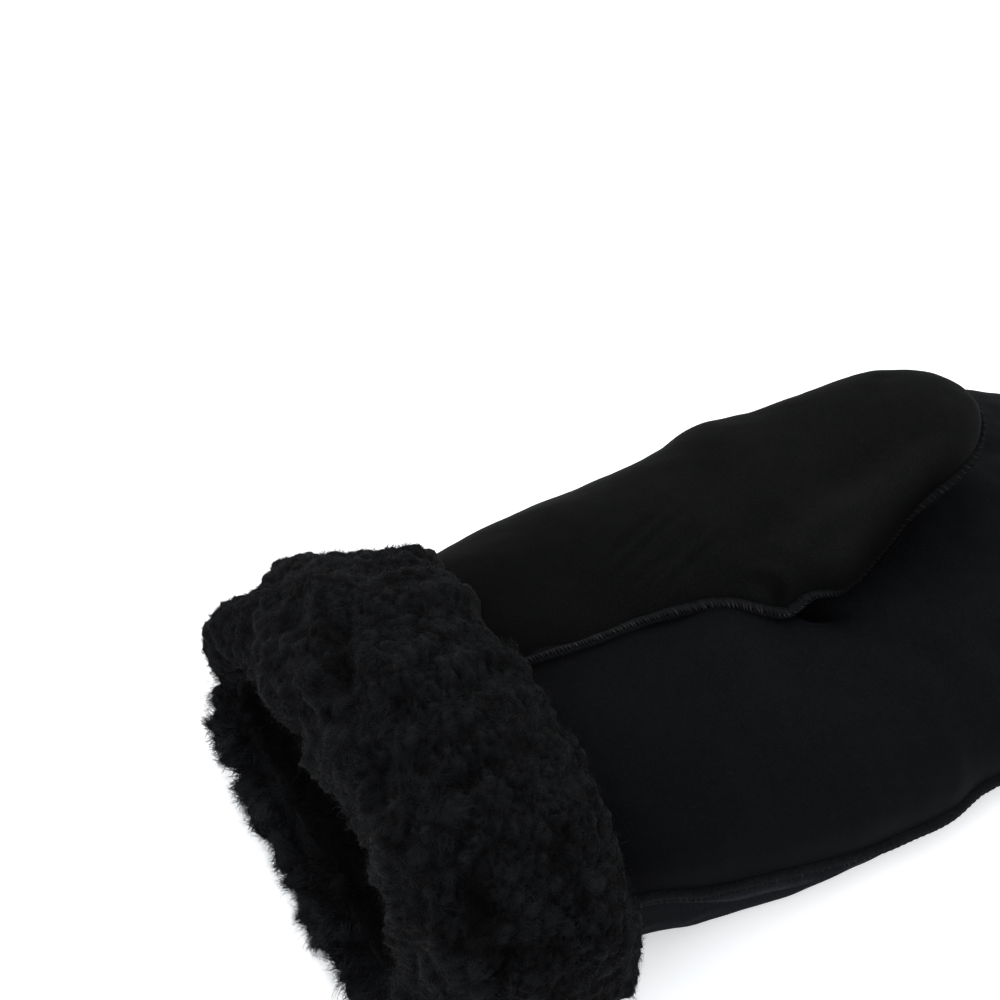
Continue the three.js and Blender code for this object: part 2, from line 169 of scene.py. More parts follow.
def unit(v):
    """Vectors of length 1."""
    return v / np.maximum(np.linalg.norm(v, axis=-1, keepdims=True), 1e-9)


def normals_of(points):
    """Unit normals of a grid of points: the cross product of its two central differences."""
    return unit(np.cross(np.gradient(points, axis=0), np.gradient(points, axis=1)))


def puffed(points, relief):
    """A grid of points moved along its normals by the relief, in millimetres."""
    return points + normals_of(points) * relief[..., None]


def ripples(x, y, length, seed, count=18):
    """A gentle unevenness between about -1 and 1: a sum of sine waves of nearly one length, in all
    directions."""
    random = np.random.default_rng(seed)
    total = np.zeros(np.broadcast(x, y).shape)
    for angle, size, phase in random.random((count, 3)) * (2 * np.pi, 1, 2 * np.pi):
        wave = 2 * np.pi / (length * (0.7 + 0.7 * size))
        total += np.sin((x * np.cos(angle) + y * np.sin(angle)) * wave + phase)
    return total / np.sqrt(count) * 0.9


def crease(x, y, start, end, depth, width, bow=0.0):
    """A groove from start to end, bowed sideways by bow at its middle. Across it the depth falls off as a
    bell, with a soft lip of a third of the depth on both sides, and along it the depth fades at both ends."""
    start, end = np.array(start, float), np.array(end, float)
    length = np.hypot(*(end - start))
    ahead = (end - start) / length
    t = ((x - start[0]) * ahead[0] + (y - start[1]) * ahead[1]) / length
    side = (y - start[1]) * ahead[0] - (x - start[0]) * ahead[1] - bow * 4 * t * (1 - t)
    fade = smooth(-0.05, 0.3, t) * smooth(1.05, 0.65, t)
    bell = np.exp(-((side / width) ** 2))
    lips = np.exp(-(((np.abs(side) - 1.9 * width) / width) ** 2))
    return fade * depth * (0.33 * lips - bell)


def mesh_piece(name, points, faces):
    """A smooth-shaded mesh object in metres around the part's origin, from points in millimetres. faces is a
    list of any polygons, or an array of four-sided ones."""
    mesh = bpy.data.meshes.new(name)
    places = (points - BOX_MIDDLE) * MM
    if isinstance(faces, list):
        mesh.from_pydata(places, [], faces)
    else:
        mesh.vertices.add(len(places))
        mesh.vertices.foreach_set("co", places.astype(np.float32).ravel())
        mesh.loops.add(faces.size)
        mesh.loops.foreach_set("vertex_index", faces.astype(np.int32).ravel())
        mesh.polygons.add(len(faces))
        mesh.polygons.foreach_set("loop_start", np.arange(0, faces.size, 4, dtype=np.int32))
    mesh.update(calc_edges=True)
    mesh.polygons.foreach_set("use_smooth", np.ones(len(mesh.polygons), bool))
    piece = bpy.data.objects.new(name, mesh)
    bpy.context.scene.collection.objects.link(piece)
    return piece


def keep_value(piece, title, value):
    """Stores one number for each point of a piece, for its material to read."""
    layer = piece.data.attributes.new(title, "FLOAT", "POINT")
    layer.data.foreach_set("value", np.ascontiguousarray(value, dtype=np.float32).ravel())


def walled(name, outer, inner, keep=None, nap_and_painted_light=None):
    """A closed wall between a fine outer grid and an inner grid with half as many cells each way. keep says
    which of the inner grid's cells are there. Each open edge gets a rim of five-sided faces, two outer edges
    to one inner edge. The last argument is the share of light painted into the outer grid's suede colour,
    painted shade below 1 and painted highlight above 1, and 1 if not given."""
    rows, columns = inner.shape[0] - 1, inner.shape[1] - 1
    keep = np.ones((rows, columns), bool) if keep is None else keep
    fine = np.arange(outer.shape[0] * outer.shape[1]).reshape(outer.shape[:2])
    coarse = fine.size + np.arange((rows + 1) * (columns + 1)).reshape(rows + 1, columns + 1)
    kept = np.repeat(np.repeat(keep, 2, 0), 2, 1)
    top = np.stack([fine[:-1, :-1], fine[1:, :-1], fine[1:, 1:], fine[:-1, 1:]], -1)[kept]
    low = np.stack([coarse[:-1, :-1], coarse[:-1, 1:], coarse[1:, 1:], coarse[1:, :-1]], -1)[keep]
    ring = np.pad(keep, 1)
    i, j = np.mgrid[0:rows, 0:columns]
    rims = []
    for (di, dj), (ai, aj), (bi, bj) in (
        ((-1, 0), (0, 1), (0, 0)),
        ((0, -1), (0, 0), (1, 0)),
        ((1, 0), (1, 0), (1, 1)),
        ((0, 1), (1, 1), (0, 1)),
    ):
        bare = keep & ~ring[1 + di : 1 + di + rows, 1 + dj : 1 + dj + columns]
        a, b = (i[bare] + ai, j[bare] + aj), (i[bare] + bi, j[bare] + bj)
        middle = fine[a[0] + b[0], a[1] + b[1]]
        corners = [fine[2 * b[0], 2 * b[1]], middle, fine[2 * a[0], 2 * a[1]], coarse[a], coarse[b]]
        rims.append(np.stack(corners, -1))
    rims = np.concatenate(rims)
    points = np.concatenate([outer.reshape(-1, 3), inner.reshape(-1, 3)])
    used = np.zeros(len(points), bool)
    used[np.concatenate([top.ravel(), low.ravel(), rims.ravel()])] = True
    place = np.cumsum(used) - 1
    faces = [*place[top].tolist(), *place[low].tolist(), *place[rims].tolist()]
    piece = mesh_piece(name, points[used], faces)
    nap_and_painted_light = np.ones(outer.shape[:2]) if nap_and_painted_light is None else np.broadcast_to(nap_and_painted_light, outer.shape[:2])
    keep_value(piece, "nap_and_painted_light", np.concatenate([nap_and_painted_light.ravel(), nap_and_painted_light[::2, ::2].ravel()])[used])
    return piece


THUMB = table(
    "x near far middle half",
    (-52, -12, 46, 24, 20.8),
    (0, -12, 51, 24, 20.5),
    (30, -4.5, 53, 25, 21.5),
    (46, -2, 51.5, 29, 19.5),
    (56, -6.5, 50, 35, 15.5),
    (61, -5.6, 49, 40.8, 12),
    (65, -6, 48, 43.8, 10),
    (72, -8.7, 47, 44.3, 10.1),
    (82, -6.2, 45.5, 44.8, 10.4),
    (100, 1.9, 44, 47, 10.5),
    (115, 4.8, 43, 48.5, 11),
    (130, 9, 42, 50, 10.5),
)


def thumb_section(x, inset):
    """The thumb's edges, the height of its middle and half its thickness at x, closed at its tip."""
    end = round_end(x, THUMB_ROUND_FROM, THUMB_TIP[0] - inset, 2.6)
    near = mix(THUMB_TIP[1], along(THUMB, "near", x) + inset, end)
    far = mix(THUMB_TIP[1], along(THUMB, "far", x) - inset, end)
    return near, far, along(THUMB, "middle", x), (along(THUMB, "half", x) - inset) * end**0.8


def thumb_point(x, inset, turn):
    """turn 0 is the thumb's near edge, pi/2 its top and pi its far edge, on a section a little squarer than
    an ellipse."""
    near, far, middle, half = thumb_section(x, inset)
    y = (near + far) / 2 - (far - near) / 2 * bent(np.cos(turn), 0.9)
    return stacked(x, y, middle + half * bent(np.sin(turn), 0.9))


def seam_turn(x):
    """The turn at which the thumb seam runs along the free thumb: a little over its near edge, and at the tip
    on the edge."""
    return 0.2 * smooth(71, 82, x) * smooth(124, 112, x)


def palm_height(x, y):
    """The palm's height over a point in plan."""
    near, far = hand_section(x, 0)[:2]
    turn = np.arccos(np.clip(1 - 2 * (y - near) / (far - near), -1, 1))
    return palm_point(x, 0, turn)[..., 2]


def thumb_turn(x, y):
    """Where on the thumb's top a point in plan is."""
    near, far = thumb_section(x, 0)[:2]
    return np.arccos(bent(np.clip(((near + far) / 2 - y) / ((far - near) / 2), -1, 1), 1 / 0.9))


def valley(x):
    """y of the line where the thumb's top comes out of the palm, by halving the interval that holds it."""
    low, high = thumb_section(x, 0)[0], np.full(np.shape(x), 22.0)
    for _ in range(30):
        y = (low + high) / 2
        over = thumb_point(x, 0, thumb_turn(x, y))[..., 2] > palm_height(x, y)
        low, high = np.where(over, low, y), np.where(over, y, high)
    return high


POCKET_AT = (66.0, -6.8)
POCKET_AHEAD, POCKET_ASIDE = 0.88, 0.47
POCKET_LONG, POCKET_WIDE, POCKET_DEEP = 7.0, 3.1, 4.0


def pocket(x, y):
    """A slanting oval bell over the place where the palm, the thumb's skin and its underside meet."""
    x, y = x - POCKET_AT[0], y - POCKET_AT[1]
    lengthwise = x * POCKET_AHEAD - y * POCKET_ASIDE
    crosswise = x * POCKET_ASIDE + y * POCKET_AHEAD
    return np.exp(-((lengthwise / POCKET_LONG) ** 2) - (crosswise / POCKET_WIDE) ** 2)


def palm_folds(x, y):
    """How far the palm's skin stands out, in millimetres: a broad unevenness, a finer one, the soft pleats of
    the palm and of the fingers' end, and the pocket at the crotch."""
    relief = 0.9 * ripples(x, y, 62, 5) + 0.28 * ripples(x, y, 21, 6) + 0.07 * ripples(x, y, 6.5, 7)
    for line in (
        ((96, -22), (108, -44), 1.1, 3.6, 2.0),
        ((74, -14), (92, -30), 0.9, 4.2, -2.5),
        ((44, -16), (60, -34), 0.5, 4.6, 2.5),
        ((112, -12), (128, -28), 0.6, 3.8, 1.5),
        ((136, -20), (144, -38), 0.7, 3.0, 1.0),
        ((148, 2), (168, -6), 0.6, 3.4, 1.0),
        ((130, 24), (158, 18), 0.7, 4.0, -1.5),
    ):
        relief += crease(x, y, *line)
    return relief - POCKET_DEEP * pocket(x, y)


PALM_ROWS, PALM_COLUMNS = (150, 88), 132
palm_x, inner_x = panel_rows(PANEL_START, HAND_ROUND_FROM, HAND_TIP[0], PALM_ROWS)
palm_turns = np.linspace(0, np.pi, PALM_COLUMNS + 1)
palm_grid = palm_point(palm_x, 0, palm_turns)
plan_x, plan_y = np.broadcast_arrays(palm_x, palm_grid[..., 1])
palm_grid = puffed(palm_grid, palm_folds(plan_x, plan_y) * inside(palm_turns, np.pi, 0.3))

# Inside the thumb's skin the palm is cut away, and past the crotch it is pressed down under the thumb
THUMB_HOLE_EDGE = 5.0
THUMB_CLEAR = 0.5
SOFTNESS = 1.3
THINNEST = 0.8 * LEATHER
thumb_low = thumb_point(plan_x, 0, 2 * np.pi - thumb_turn(plan_x, plan_y))[..., 2] - THUMB_CLEAR
near_edge, far_edge = thumb_section(plan_x, 0)[:2]
beneath = (plan_x > CROTCH - 2) & (plan_x < THUMB_TIP[0]) & (plan_y > near_edge) & (plan_y < far_edge)
free = palm_grid[..., 2]
dented = -SOFTNESS * np.log(np.exp(-free / SOFTNESS) + np.exp(-thumb_low / SOFTNESS))
palm_grid[..., 2] = np.where(beneath, mix(free, dented, smooth(CROTCH - 2, CROTCH + 4, plan_x)), free)

palm_inside = palm_point(inner_x, LEATHER, palm_turns[::2])
palm_inside[..., 2] = np.minimum(palm_inside[..., 2], palm_grid[::2, ::2, 2] - THINNEST)
cell_x = (palm_x[2::2] + palm_x[:-2:2]) / 2
cell_y = palm_point(cell_x, 0, (palm_turns[2::2] + palm_turns[:-2:2]) / 2)[..., 1]
cell_far = thumb_section(cell_x, 0)[1]
in_thumb = (cell_y > valley(cell_x) + THUMB_HOLE_EDGE) & (cell_y < cell_far - THUMB_HOLE_EDGE)

# Painted shade: the suede's colour is darkened in the pocket at the crotch, in the line where the panel turns
# out into the side seam, and in the groove under the thumb seam
side_seam_shade = 0.35 * np.exp(-palm_turns / 0.05) + 0.28 * np.exp(-((palm_turns / 0.4) ** 2))
below_thumb_seam = valley(palm_x) - plan_y
groove = 0.5 * np.exp(-(((below_thumb_seam - 2.2) / 0.9) ** 2))
groove = groove + 0.28 * np.exp(-((below_thumb_seam / 7) ** 2))
groove = groove * smooth(CROTCH, CROTCH - 6, plan_x) * (below_thumb_seam > 0)
palm_painted_shade = (1 - 0.92 * pocket(plan_x, plan_y)) * (1 - side_seam_shade) * (1 - groove)
palm = walled("palm_skin", palm_grid, palm_inside, ~(in_thumb & (cell_x < CROTCH - 6)), palm_painted_shade)


class Socket:
    """A node's output. Its sums, differences and products with numbers or other sockets add Math nodes."""

    def __init__(self, finish, link):
        self.finish, self.link = finish, link

    def maths(self, operation, a, b):
        return self.finish.node("ShaderNodeMath", {"operation": operation}, {0: a, 1: b})

    def __add__(self, other):
        return self.maths("ADD", self, other)

    def __radd__(self, other):
        return self.maths("ADD", other, self)

    def __sub__(self, other):
        return self.maths("SUBTRACT", self, other)

    def __rsub__(self, other):
        return self.maths("SUBTRACT", other, self)

    def __mul__(self, other):
        return self.maths("MULTIPLY", self, other)

    def __rmul__(self, other):
        return self.maths("MULTIPLY", other, self)


class Finish:
    """A material and its nodes. Its shader is a Principled one, whose plain numbers are set at once."""

    def __init__(self, name, **plain):
        self.material = bpy.data.materials.new(name)
        self.material.use_nodes = True
        self.nodes, self.links = self.material.node_tree.nodes, self.material.node_tree.links
        self.shader = self.nodes["Principled BSDF"]
        for socket, value in plain.items():
            self.shader.inputs[socket.replace("_", " ")].default_value = value

    def node(self, kind, settings=None, inputs=None, output=0):
        """Any node: its settings first, a ramp's stops among them, then its sockets' values or links."""
        node = self.nodes.new(kind)
        for key, value in (settings or {}).items():
            if key == "stops":
                stops = node.color_ramp.elements
                for i, (place, shade) in enumerate(value):
                    stop = stops[i] if i < 2 else stops.new(place)
                    stop.position, stop.color = place, (shade, shade, shade, 1)
            else:
                setattr(node, key, value)
        for key, value in (inputs or {}).items():
            if isinstance(value, Socket):
                self.links.new(value.link, node.inputs[key])
            else:
                node.inputs[key].default_value = value
        return Socket(self, node.outputs[output])

    def place(self):
        """Where a point lies on the part, in metres."""
        return self.node("ShaderNodeTexCoord", {}, {}, "Object")

    def kept(self, title):
        """The value that keep_value stored under this title."""
        return self.node("ShaderNodeAttribute", {"attribute_name": title}, {}, "Fac")

    def noise(self, place, scale, detail=2.0, rough=0.5):
        sockets = {"Vector": place, "Scale": scale, "Detail": detail, "Roughness": rough}
        return self.node("ShaderNodeTexNoise", {}, sockets)

    def ramp(self, value, *stops):
        return self.node("ShaderNodeValToRGB", {"stops": stops}, {"Fac": value})

    def blend(self, share, a, b):
        """A colour between a and b."""
        ends = [c if isinstance(c, Socket) else (*c, 1) for c in (a, b)]
        return self.node("ShaderNodeMix", {"data_type": "RGBA"}, {0: share, 6: ends[0], 7: ends[1]}, 2)

    def dimmed(self, colour, share):
        """A colour times a share of light."""
        return self.node("ShaderNodeVectorMath", {"operation": "MULTIPLY"}, {0: colour, 1: share})

    def bump(self, height, distance, strength=1.0, under=None):
        sockets = {"Height": height, "Distance": distance, "Strength": strength}
        if under is not None:
            sockets["Normal"] = under
        return self.node("ShaderNodeBump", {}, sockets)

    def feed(self, **links):
        for socket, value in links.items():
            self.links.new(value.link, self.shader.inputs[socket.replace("_", " ")])
        return self.material


def suede(name, dark, light, tint, by_cuff=0.85, sheen=0.02):
    """Black suede: clouds and patches of slightly lighter and darker nap, fine flecks where single fibres
    catch the light, a matt surface with a soft sheen at its edges, and the nap's own roughness as bump.
    Beside the cuff, where the wool shades it, only the share by_cuff of its light is left, as painted shade,
    and the colour is also times the share of painted shade and highlight stored on the piece."""
    finish = Finish(
        name, Roughness=0.94, Specular_IOR_Level=2 * sheen, Sheen_Weight=sheen, Sheen_Roughness=0.35
    )
    finish.shader.inputs["Sheen Tint"].default_value = (*tint, 1)
    place = finish.place()
    clouds = finish.noise(place, 42, 3)
    patches = finish.noise(place, 230, 3)
    nap_and_painted_light = finish.noise(place, 1500, 3, 0.6)
    flecks = finish.noise(place, 4200, 1)
    brushed = finish.ramp(clouds * 0.3 + patches * 0.2 + nap_and_painted_light * 0.5, (0.36, 0.0), (0.64, 1.0))
    colour = finish.blend(brushed, dark, light)
    bright = tuple(2.6 * c for c in light)
    colour = finish.blend(finish.ramp(flecks, (0.56, 0.0), (0.78, 0.75)), colour, bright)
    # Painted shade towards the cuff: the colour falls to the share by_cuff by the cuff's edge, then it is
    # times the piece's stored share of painted light
    lengthwise = finish.node("ShaderNodeSeparateXYZ", {}, {"Vector": place})
    painted_cuff_shade = finish.ramp(lengthwise * 10 + 1, (0.42, by_cuff), (0.92, 1.0))
    colour = finish.dimmed(finish.dimmed(colour, painted_cuff_shade), finish.kept("nap_and_painted_light"))
    rough = finish.bump(nap_and_painted_light, 0.00018, 0.55, finish.bump(patches, 0.0004, 0.35))
    return finish.feed(Base_Color=colour, Roughness=0.86 + nap_and_painted_light * 0.14, Normal=rough)


palm_colours = (0.0023, 0.0025, 0.0029), (0.0045, 0.0047, 0.0055), (0.72, 0.8, 1.0)
palm.data.materials.append(suede("palm_suede", *palm_colours, by_cuff=0.7))
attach(palm, "root")
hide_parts("palm_panel")

# Back panel
# One cut of the same sheepskin over the back of the hand, which lies on the floor. Its edges turn up to the
# side seam, so that only a strip of it shows from above.
BACK_ROWS, BACK_COLUMNS = (96, 56), 88
back_turns = np.linspace(0, np.pi, BACK_COLUMNS + 1)


def back_point(x, inset, turn):
    """turn 0 is the near side seam and pi the far one. y spreads out fast from both edges, as a cosine to the
    power 0.6, or 0.3 where the panel bulges out under the near seam by the root of a sine. The height drops
    from the seams to the lift as a sine to the power 0.55."""
    near, far, near_z, far_z, _, lift, end = hand_section(x, inset)
    share = (1 - np.cos(turn)) / 2
    bulge = along(HAND, "bulge", x)
    spread = bent(np.cos(turn), mix(0.6, 0.3, np.clip(bulge / 4, 0, 1)))
    out = bulge * np.sqrt(np.maximum(np.sin(2 * turn), 0)) * (turn < np.pi / 2)
    seam = mix(near_z, far_z, share)
    drop = np.clip(1.06 * np.abs(np.sin(turn)) ** 0.55, 0, 1) * end**0.6
    y = mix(near, far, (1 - spread) / 2) + drawn_in(x, (1 - spread) / 2) - out
    return stacked(x, y, seam - np.maximum(seam - lift, 0) * drop)


def back_folds(x, y, z):
    """The soft bulges of the turned-up edge, which fade out where the panel lies flat on the floor."""
    lifted = smooth(0.8, 5.0, z)
    return lifted * (0.35 * ripples(x, y + z, 30, 11) + 0.12 * ripples(x, z * 2, 9, 12))


back_x, back_inner_x = panel_rows(PANEL_START, HAND_ROUND_FROM, HAND_TIP[0], BACK_ROWS)
back_grid = back_point(back_x, 0, back_turns)
back_relief = back_folds(back_x, back_grid[..., 1], back_grid[..., 2]) * inside(back_turns, np.pi, 0.25)
back_grid = puffed(back_grid, -back_relief)
back_grid[..., 2] = np.maximum(back_grid[..., 2], 0.0)
back_inside = back_point(back_inner_x, LEATHER, back_turns[::2])
back = walled("back_skin", back_grid[:, ::-1], back_inside[:, ::-1])
# Painted light: the same sheepskin as the palm, given about twice its colour for the light on the upturned
# strip
back_painted_light_colours = (0.0048, 0.0053, 0.0062), (0.0082, 0.0088, 0.0102), (0.7, 0.8, 1.0)
back.data.materials.append(suede("back_suede", *back_painted_light_colours))
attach(back, "root")
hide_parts("back_panel")

# Thumb panel
# The thumb's top is a cut of skin of its own, a little browner, let into the palm and drawn in at the crotch.
# It runs over the top of the thumb from the thumb seam to the fold on its far side.
THUMB_ROWS, THUMB_COLUMNS = (124, 54), 104
SUNK = 3.5
PUCKER_AT = (57.6, -3.6)


def thumb_folds(x, y):
    """The thumb's skin: a broad unevenness, the fine pull lines over the thumb's root, the pucker that fans
    out of the crotch's end, and, as a groove of negative depth, the swell along the thumb's near edge."""
    relief = 0.45 * ripples(x, y, 48, 21) + 0.2 * ripples(x, y, 17, 22) + 0.05 * ripples(x, y, 6, 23)
    for line in (
        ((24, 14), (51, 24), 0.45, 0.9, 1.2),
        ((27, 11.5), (53, 21), 0.4, 0.8, -0.6),
        ((22, 18), (50, 27), 0.4, 1.0, 0.8),
        ((30, 9), (54, 17.5), 0.4, 0.8, 1.5),
        ((25, 21), (49, 30), 0.3, 1.1, -1.0),
        ((35, 8), (55, 13.5), 0.35, 0.9, 1.0),
        ((53, 3), (59, -5), 1.3, 1.2, 0.5),
        ((56, 6), (63, -3), 0.6, 1.5, 0.5),
        ((54, 0), (100, 7), -1.7, 4.0, 1.0),
        ((88, 14), (110, 17), 0.5, 4.2, -2.0),
        ((98, 30), (116, 34), 0.4, 3.4, 1.0),
    ):
        relief += crease(x, y, *line)
    return relief


thumb_x, thumb_inner_x = panel_rows(PANEL_START, THUMB_ROUND_FROM, THUMB_TIP[0], THUMB_ROWS)
thumb_share = np.linspace(0, 1, THUMB_COLUMNS + 1)
thumb_grid = thumb_point(thumb_x, 0, mix(seam_turn(thumb_x), np.pi, thumb_share))
thumb_relief = thumb_folds(*np.broadcast_arrays(thumb_x, thumb_grid[..., 1])) * inside(thumb_share, 1, 0.08)
thumb_grid = puffed(thumb_grid, thumb_relief)
thumb_inner_turns = mix(seam_turn(thumb_inner_x), np.pi, thumb_share[::2])
thumb_inside = thumb_point(thumb_inner_x, LEATHER, thumb_inner_turns)
cell = (thumb_grid[:-2:2, :-2:2] + thumb_grid[2::2, 2::2]) / 2
sunk = cell[..., 2] < palm_height(cell[..., 0], cell[..., 1]) - SUNK

# Painted light on the thumb's suede past the crotch: shade along the seam at its near edge, a highlight on
# the swell beside it, and shade in the pucker
edge_painted_shade = mix(0.4, 0.85, smooth(62, 78, thumb_x)) * smooth(0.22, 0.03, thumb_share)
swell_painted_highlight = 0.3 * np.exp(-(((thumb_share - 0.26) / 0.07) ** 2))
past_crotch = smooth(55, 64, thumb_x) * smooth(120, 100, thumb_x)
thumb_painted_light = 1 - past_crotch * (edge_painted_shade - swell_painted_highlight)
pucker_x, pucker_y = thumb_x - PUCKER_AT[0], thumb_grid[..., 1] - PUCKER_AT[1]
thumb_painted_light = thumb_painted_light * (1 - 0.6 * np.exp(-((pucker_x / 2.0) ** 2) - (pucker_y / 2.4) ** 2))
thumb = walled("thumb_skin", thumb_grid, thumb_inside, ~(sunk & (cell[..., 0] < CROTCH)), thumb_painted_light)
browner = (0.0022, 0.0023, 0.0022), (0.0044, 0.0044, 0.0043), (0.85, 0.88, 0.9)
thumb.data.materials.append(suede("thumb_suede", *browner, by_cuff=0.55))
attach(thumb, "root")
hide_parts("thumb_panel")

# Thumb underside
# The thumb's lower half is a tongue of the same skin as the palm, sewn to the top round the thumb's tip. It
# rests on the palm and lifts off it towards the tip.
UNDER_START = 60.0
UNDER_ROWS, UNDER_COLUMNS = (30, 30), 60
under_x, under_inner_x = panel_rows(UNDER_START, THUMB_ROUND_FROM, THUMB_TIP[0], UNDER_ROWS)
under_share = np.linspace(0, 1, UNDER_COLUMNS + 1)
under_turns = mix(np.pi, 2 * np.pi + seam_turn(under_x), under_share)
under_grid = thumb_point(under_x, 0, under_turns)
under_relief = 0.4 * ripples(under_x, under_grid[..., 1], 22, 31) * inside(under_share, 1, 0.1)
under_grid = puffed(under_grid, under_relief)
under_inner_turns = mix(np.pi, 2 * np.pi + seam_turn(under_inner_x), under_share[::2])
under_inside = thumb_point(under_inner_x, LEATHER, under_inner_turns)
# Painted shade: the underside's colour is darkened towards the crotch, where it lies in the shadow between
# thumb and palm, and its suede gets little sheen so that it stays dark there
under_painted_shade = 1 - 0.8 * smooth(110, 97, under_x)
underside = walled("thumb_underside_skin", under_grid, under_inside, None, under_painted_shade)
under_colours = (0.0028, 0.0030, 0.0036), (0.0050, 0.0054, 0.0064), (0.72, 0.8, 1.0)
underside.data.materials.append(suede("underside_suede", *under_colours, by_cuff=1.0, sheen=0.005))
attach(underside, "root")
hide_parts("thumb_underside")

# Side seam
# The palm's and the back's edges stand out together as a raw double edge, which thread wraps over at a slant,
# stitch by stitch, from the cuff round the fingertips and back to the cuff.
RIDGE_WIDTH, RIDGE_HEIGHT = 3.0, 3.2
RIDGE_FLANK = np.array([(-0.5, -0.4), (-0.54, 0.1), (-0.5, 0.45), (-0.36, 0.62), (-0.16, 0.66)])
RIDGE_NOTCH = (0.0, 0.5)
SIDE_PITCH = 1.7
SIDE_SIZE = 0.92
SIDE_SLANT = 1.9
SIDE_HIGHLIGHT_AT = 0.42
THREAD_RADIUS = 0.27
RIDGE_START = -16.0
STITCH_RINGS = 8


def resampled(points, others, step):
    """The points at even steps along their polyline, and the others at the same places."""
    length = np.concatenate([[0], np.cumsum(np.linalg.norm(np.diff(points, axis=0), axis=1))])
    at = np.linspace(0, length[-1], int(length[-1] / step) + 1)
    both = np.concatenate([points, others], 1)
    new = np.stack([np.interp(at, length, column) for column in both.T], -1)
    return at, new[:, :3], new[:, 3:]


def framed(points, outward_light):
    """At each point of a path: the direction along it, the one out of the leather and the one across."""
    ahead = unit(np.gradient(points, axis=0))
    across = unit(np.cross(ahead, outward_light))
    return ahead, np.cross(across, ahead), across


def tube(rings):
    """Closed faces through many rings at once. rings has the shape tubes x rings x sides x 3, and each tube
    gets a flat end on both sides."""
    count, length, sides = rings.shape[:3]
    index = np.arange(count * length * sides).reshape(count, length, sides)
    after = np.roll(index, -1, axis=2)
    walls = np.stack([index[:, :-1], after[:, :-1], after[:, 1:], index[:, 1:]], -1).reshape(-1, 4)
    ends = np.concatenate([index[:, 0, ::-1], index[:, -1]])
    return rings.reshape(-1, 3), [*walls.tolist(), *ends.tolist()]


def ridge(distance, points, outward_light, beats, size, flare, seed):
    """Two leather edges side by side along a path, at a size that varies. The section is a rounded bar with
    a notch between the two edges. It is a little lower and thinner under each stitch, which is at each whole
    number of beats, and a slow unevenness bends it. Its one edge sticks out by flare millimetres more than
    the other."""
    ahead, out, across = framed(points, outward_light)
    wobble = ripples(distance, 0 * distance, 26, seed) * 0.35
    pinch = 0.5 + 0.5 * np.cos(2 * np.pi * beats)
    wide = RIDGE_WIDTH * size * (0.93 - 0.1 * pinch + 0.05 * ripples(distance, 0 * distance, 9, seed + 1))
    tall = RIDGE_HEIGHT * size * (1 - 0.07 * pinch + 0.06 * ripples(distance, 0 * distance, 14, seed + 2))
    profile = np.concatenate([RIDGE_FLANK, [RIDGE_NOTCH], RIDGE_FLANK[::-1] * (-1, 1)])
    section = across[:, None] * (profile[:, 0, None] * wide[:, None, None] + wobble[:, None, None])
    raised = flare[:, None] * smooth(0.05, 0.3, profile[:, 0]) * (profile[:, 1] > 0.4)
    section = section + out[:, None] * (profile[:, 1] * tall[:, None] + raised)[..., None]
    return points[:, None] + section, (ahead, out, across, wide, tall, wobble)


def edge_values(piece, rings, side, begin, cut, seam_brightness):
    """Keeps on a ridge's mesh how light its raw edge is, and the share of its colour's light that is kept,
    which is painted shade where the seam turns in under the thumb. side is -1 or 1 for the raw edge's side,
    begin the place where it starts, and cut its lightness along the seam."""
    across = np.linspace(-1, 1, rings.shape[1]) * side
    keep_value(piece, "raw", smooth(begin, begin + 0.5, across) * cut[:, None])
    keep_value(piece, "seam_brightness", np.broadcast_to(seam_brightness[:, None], rings.shape[:2]))


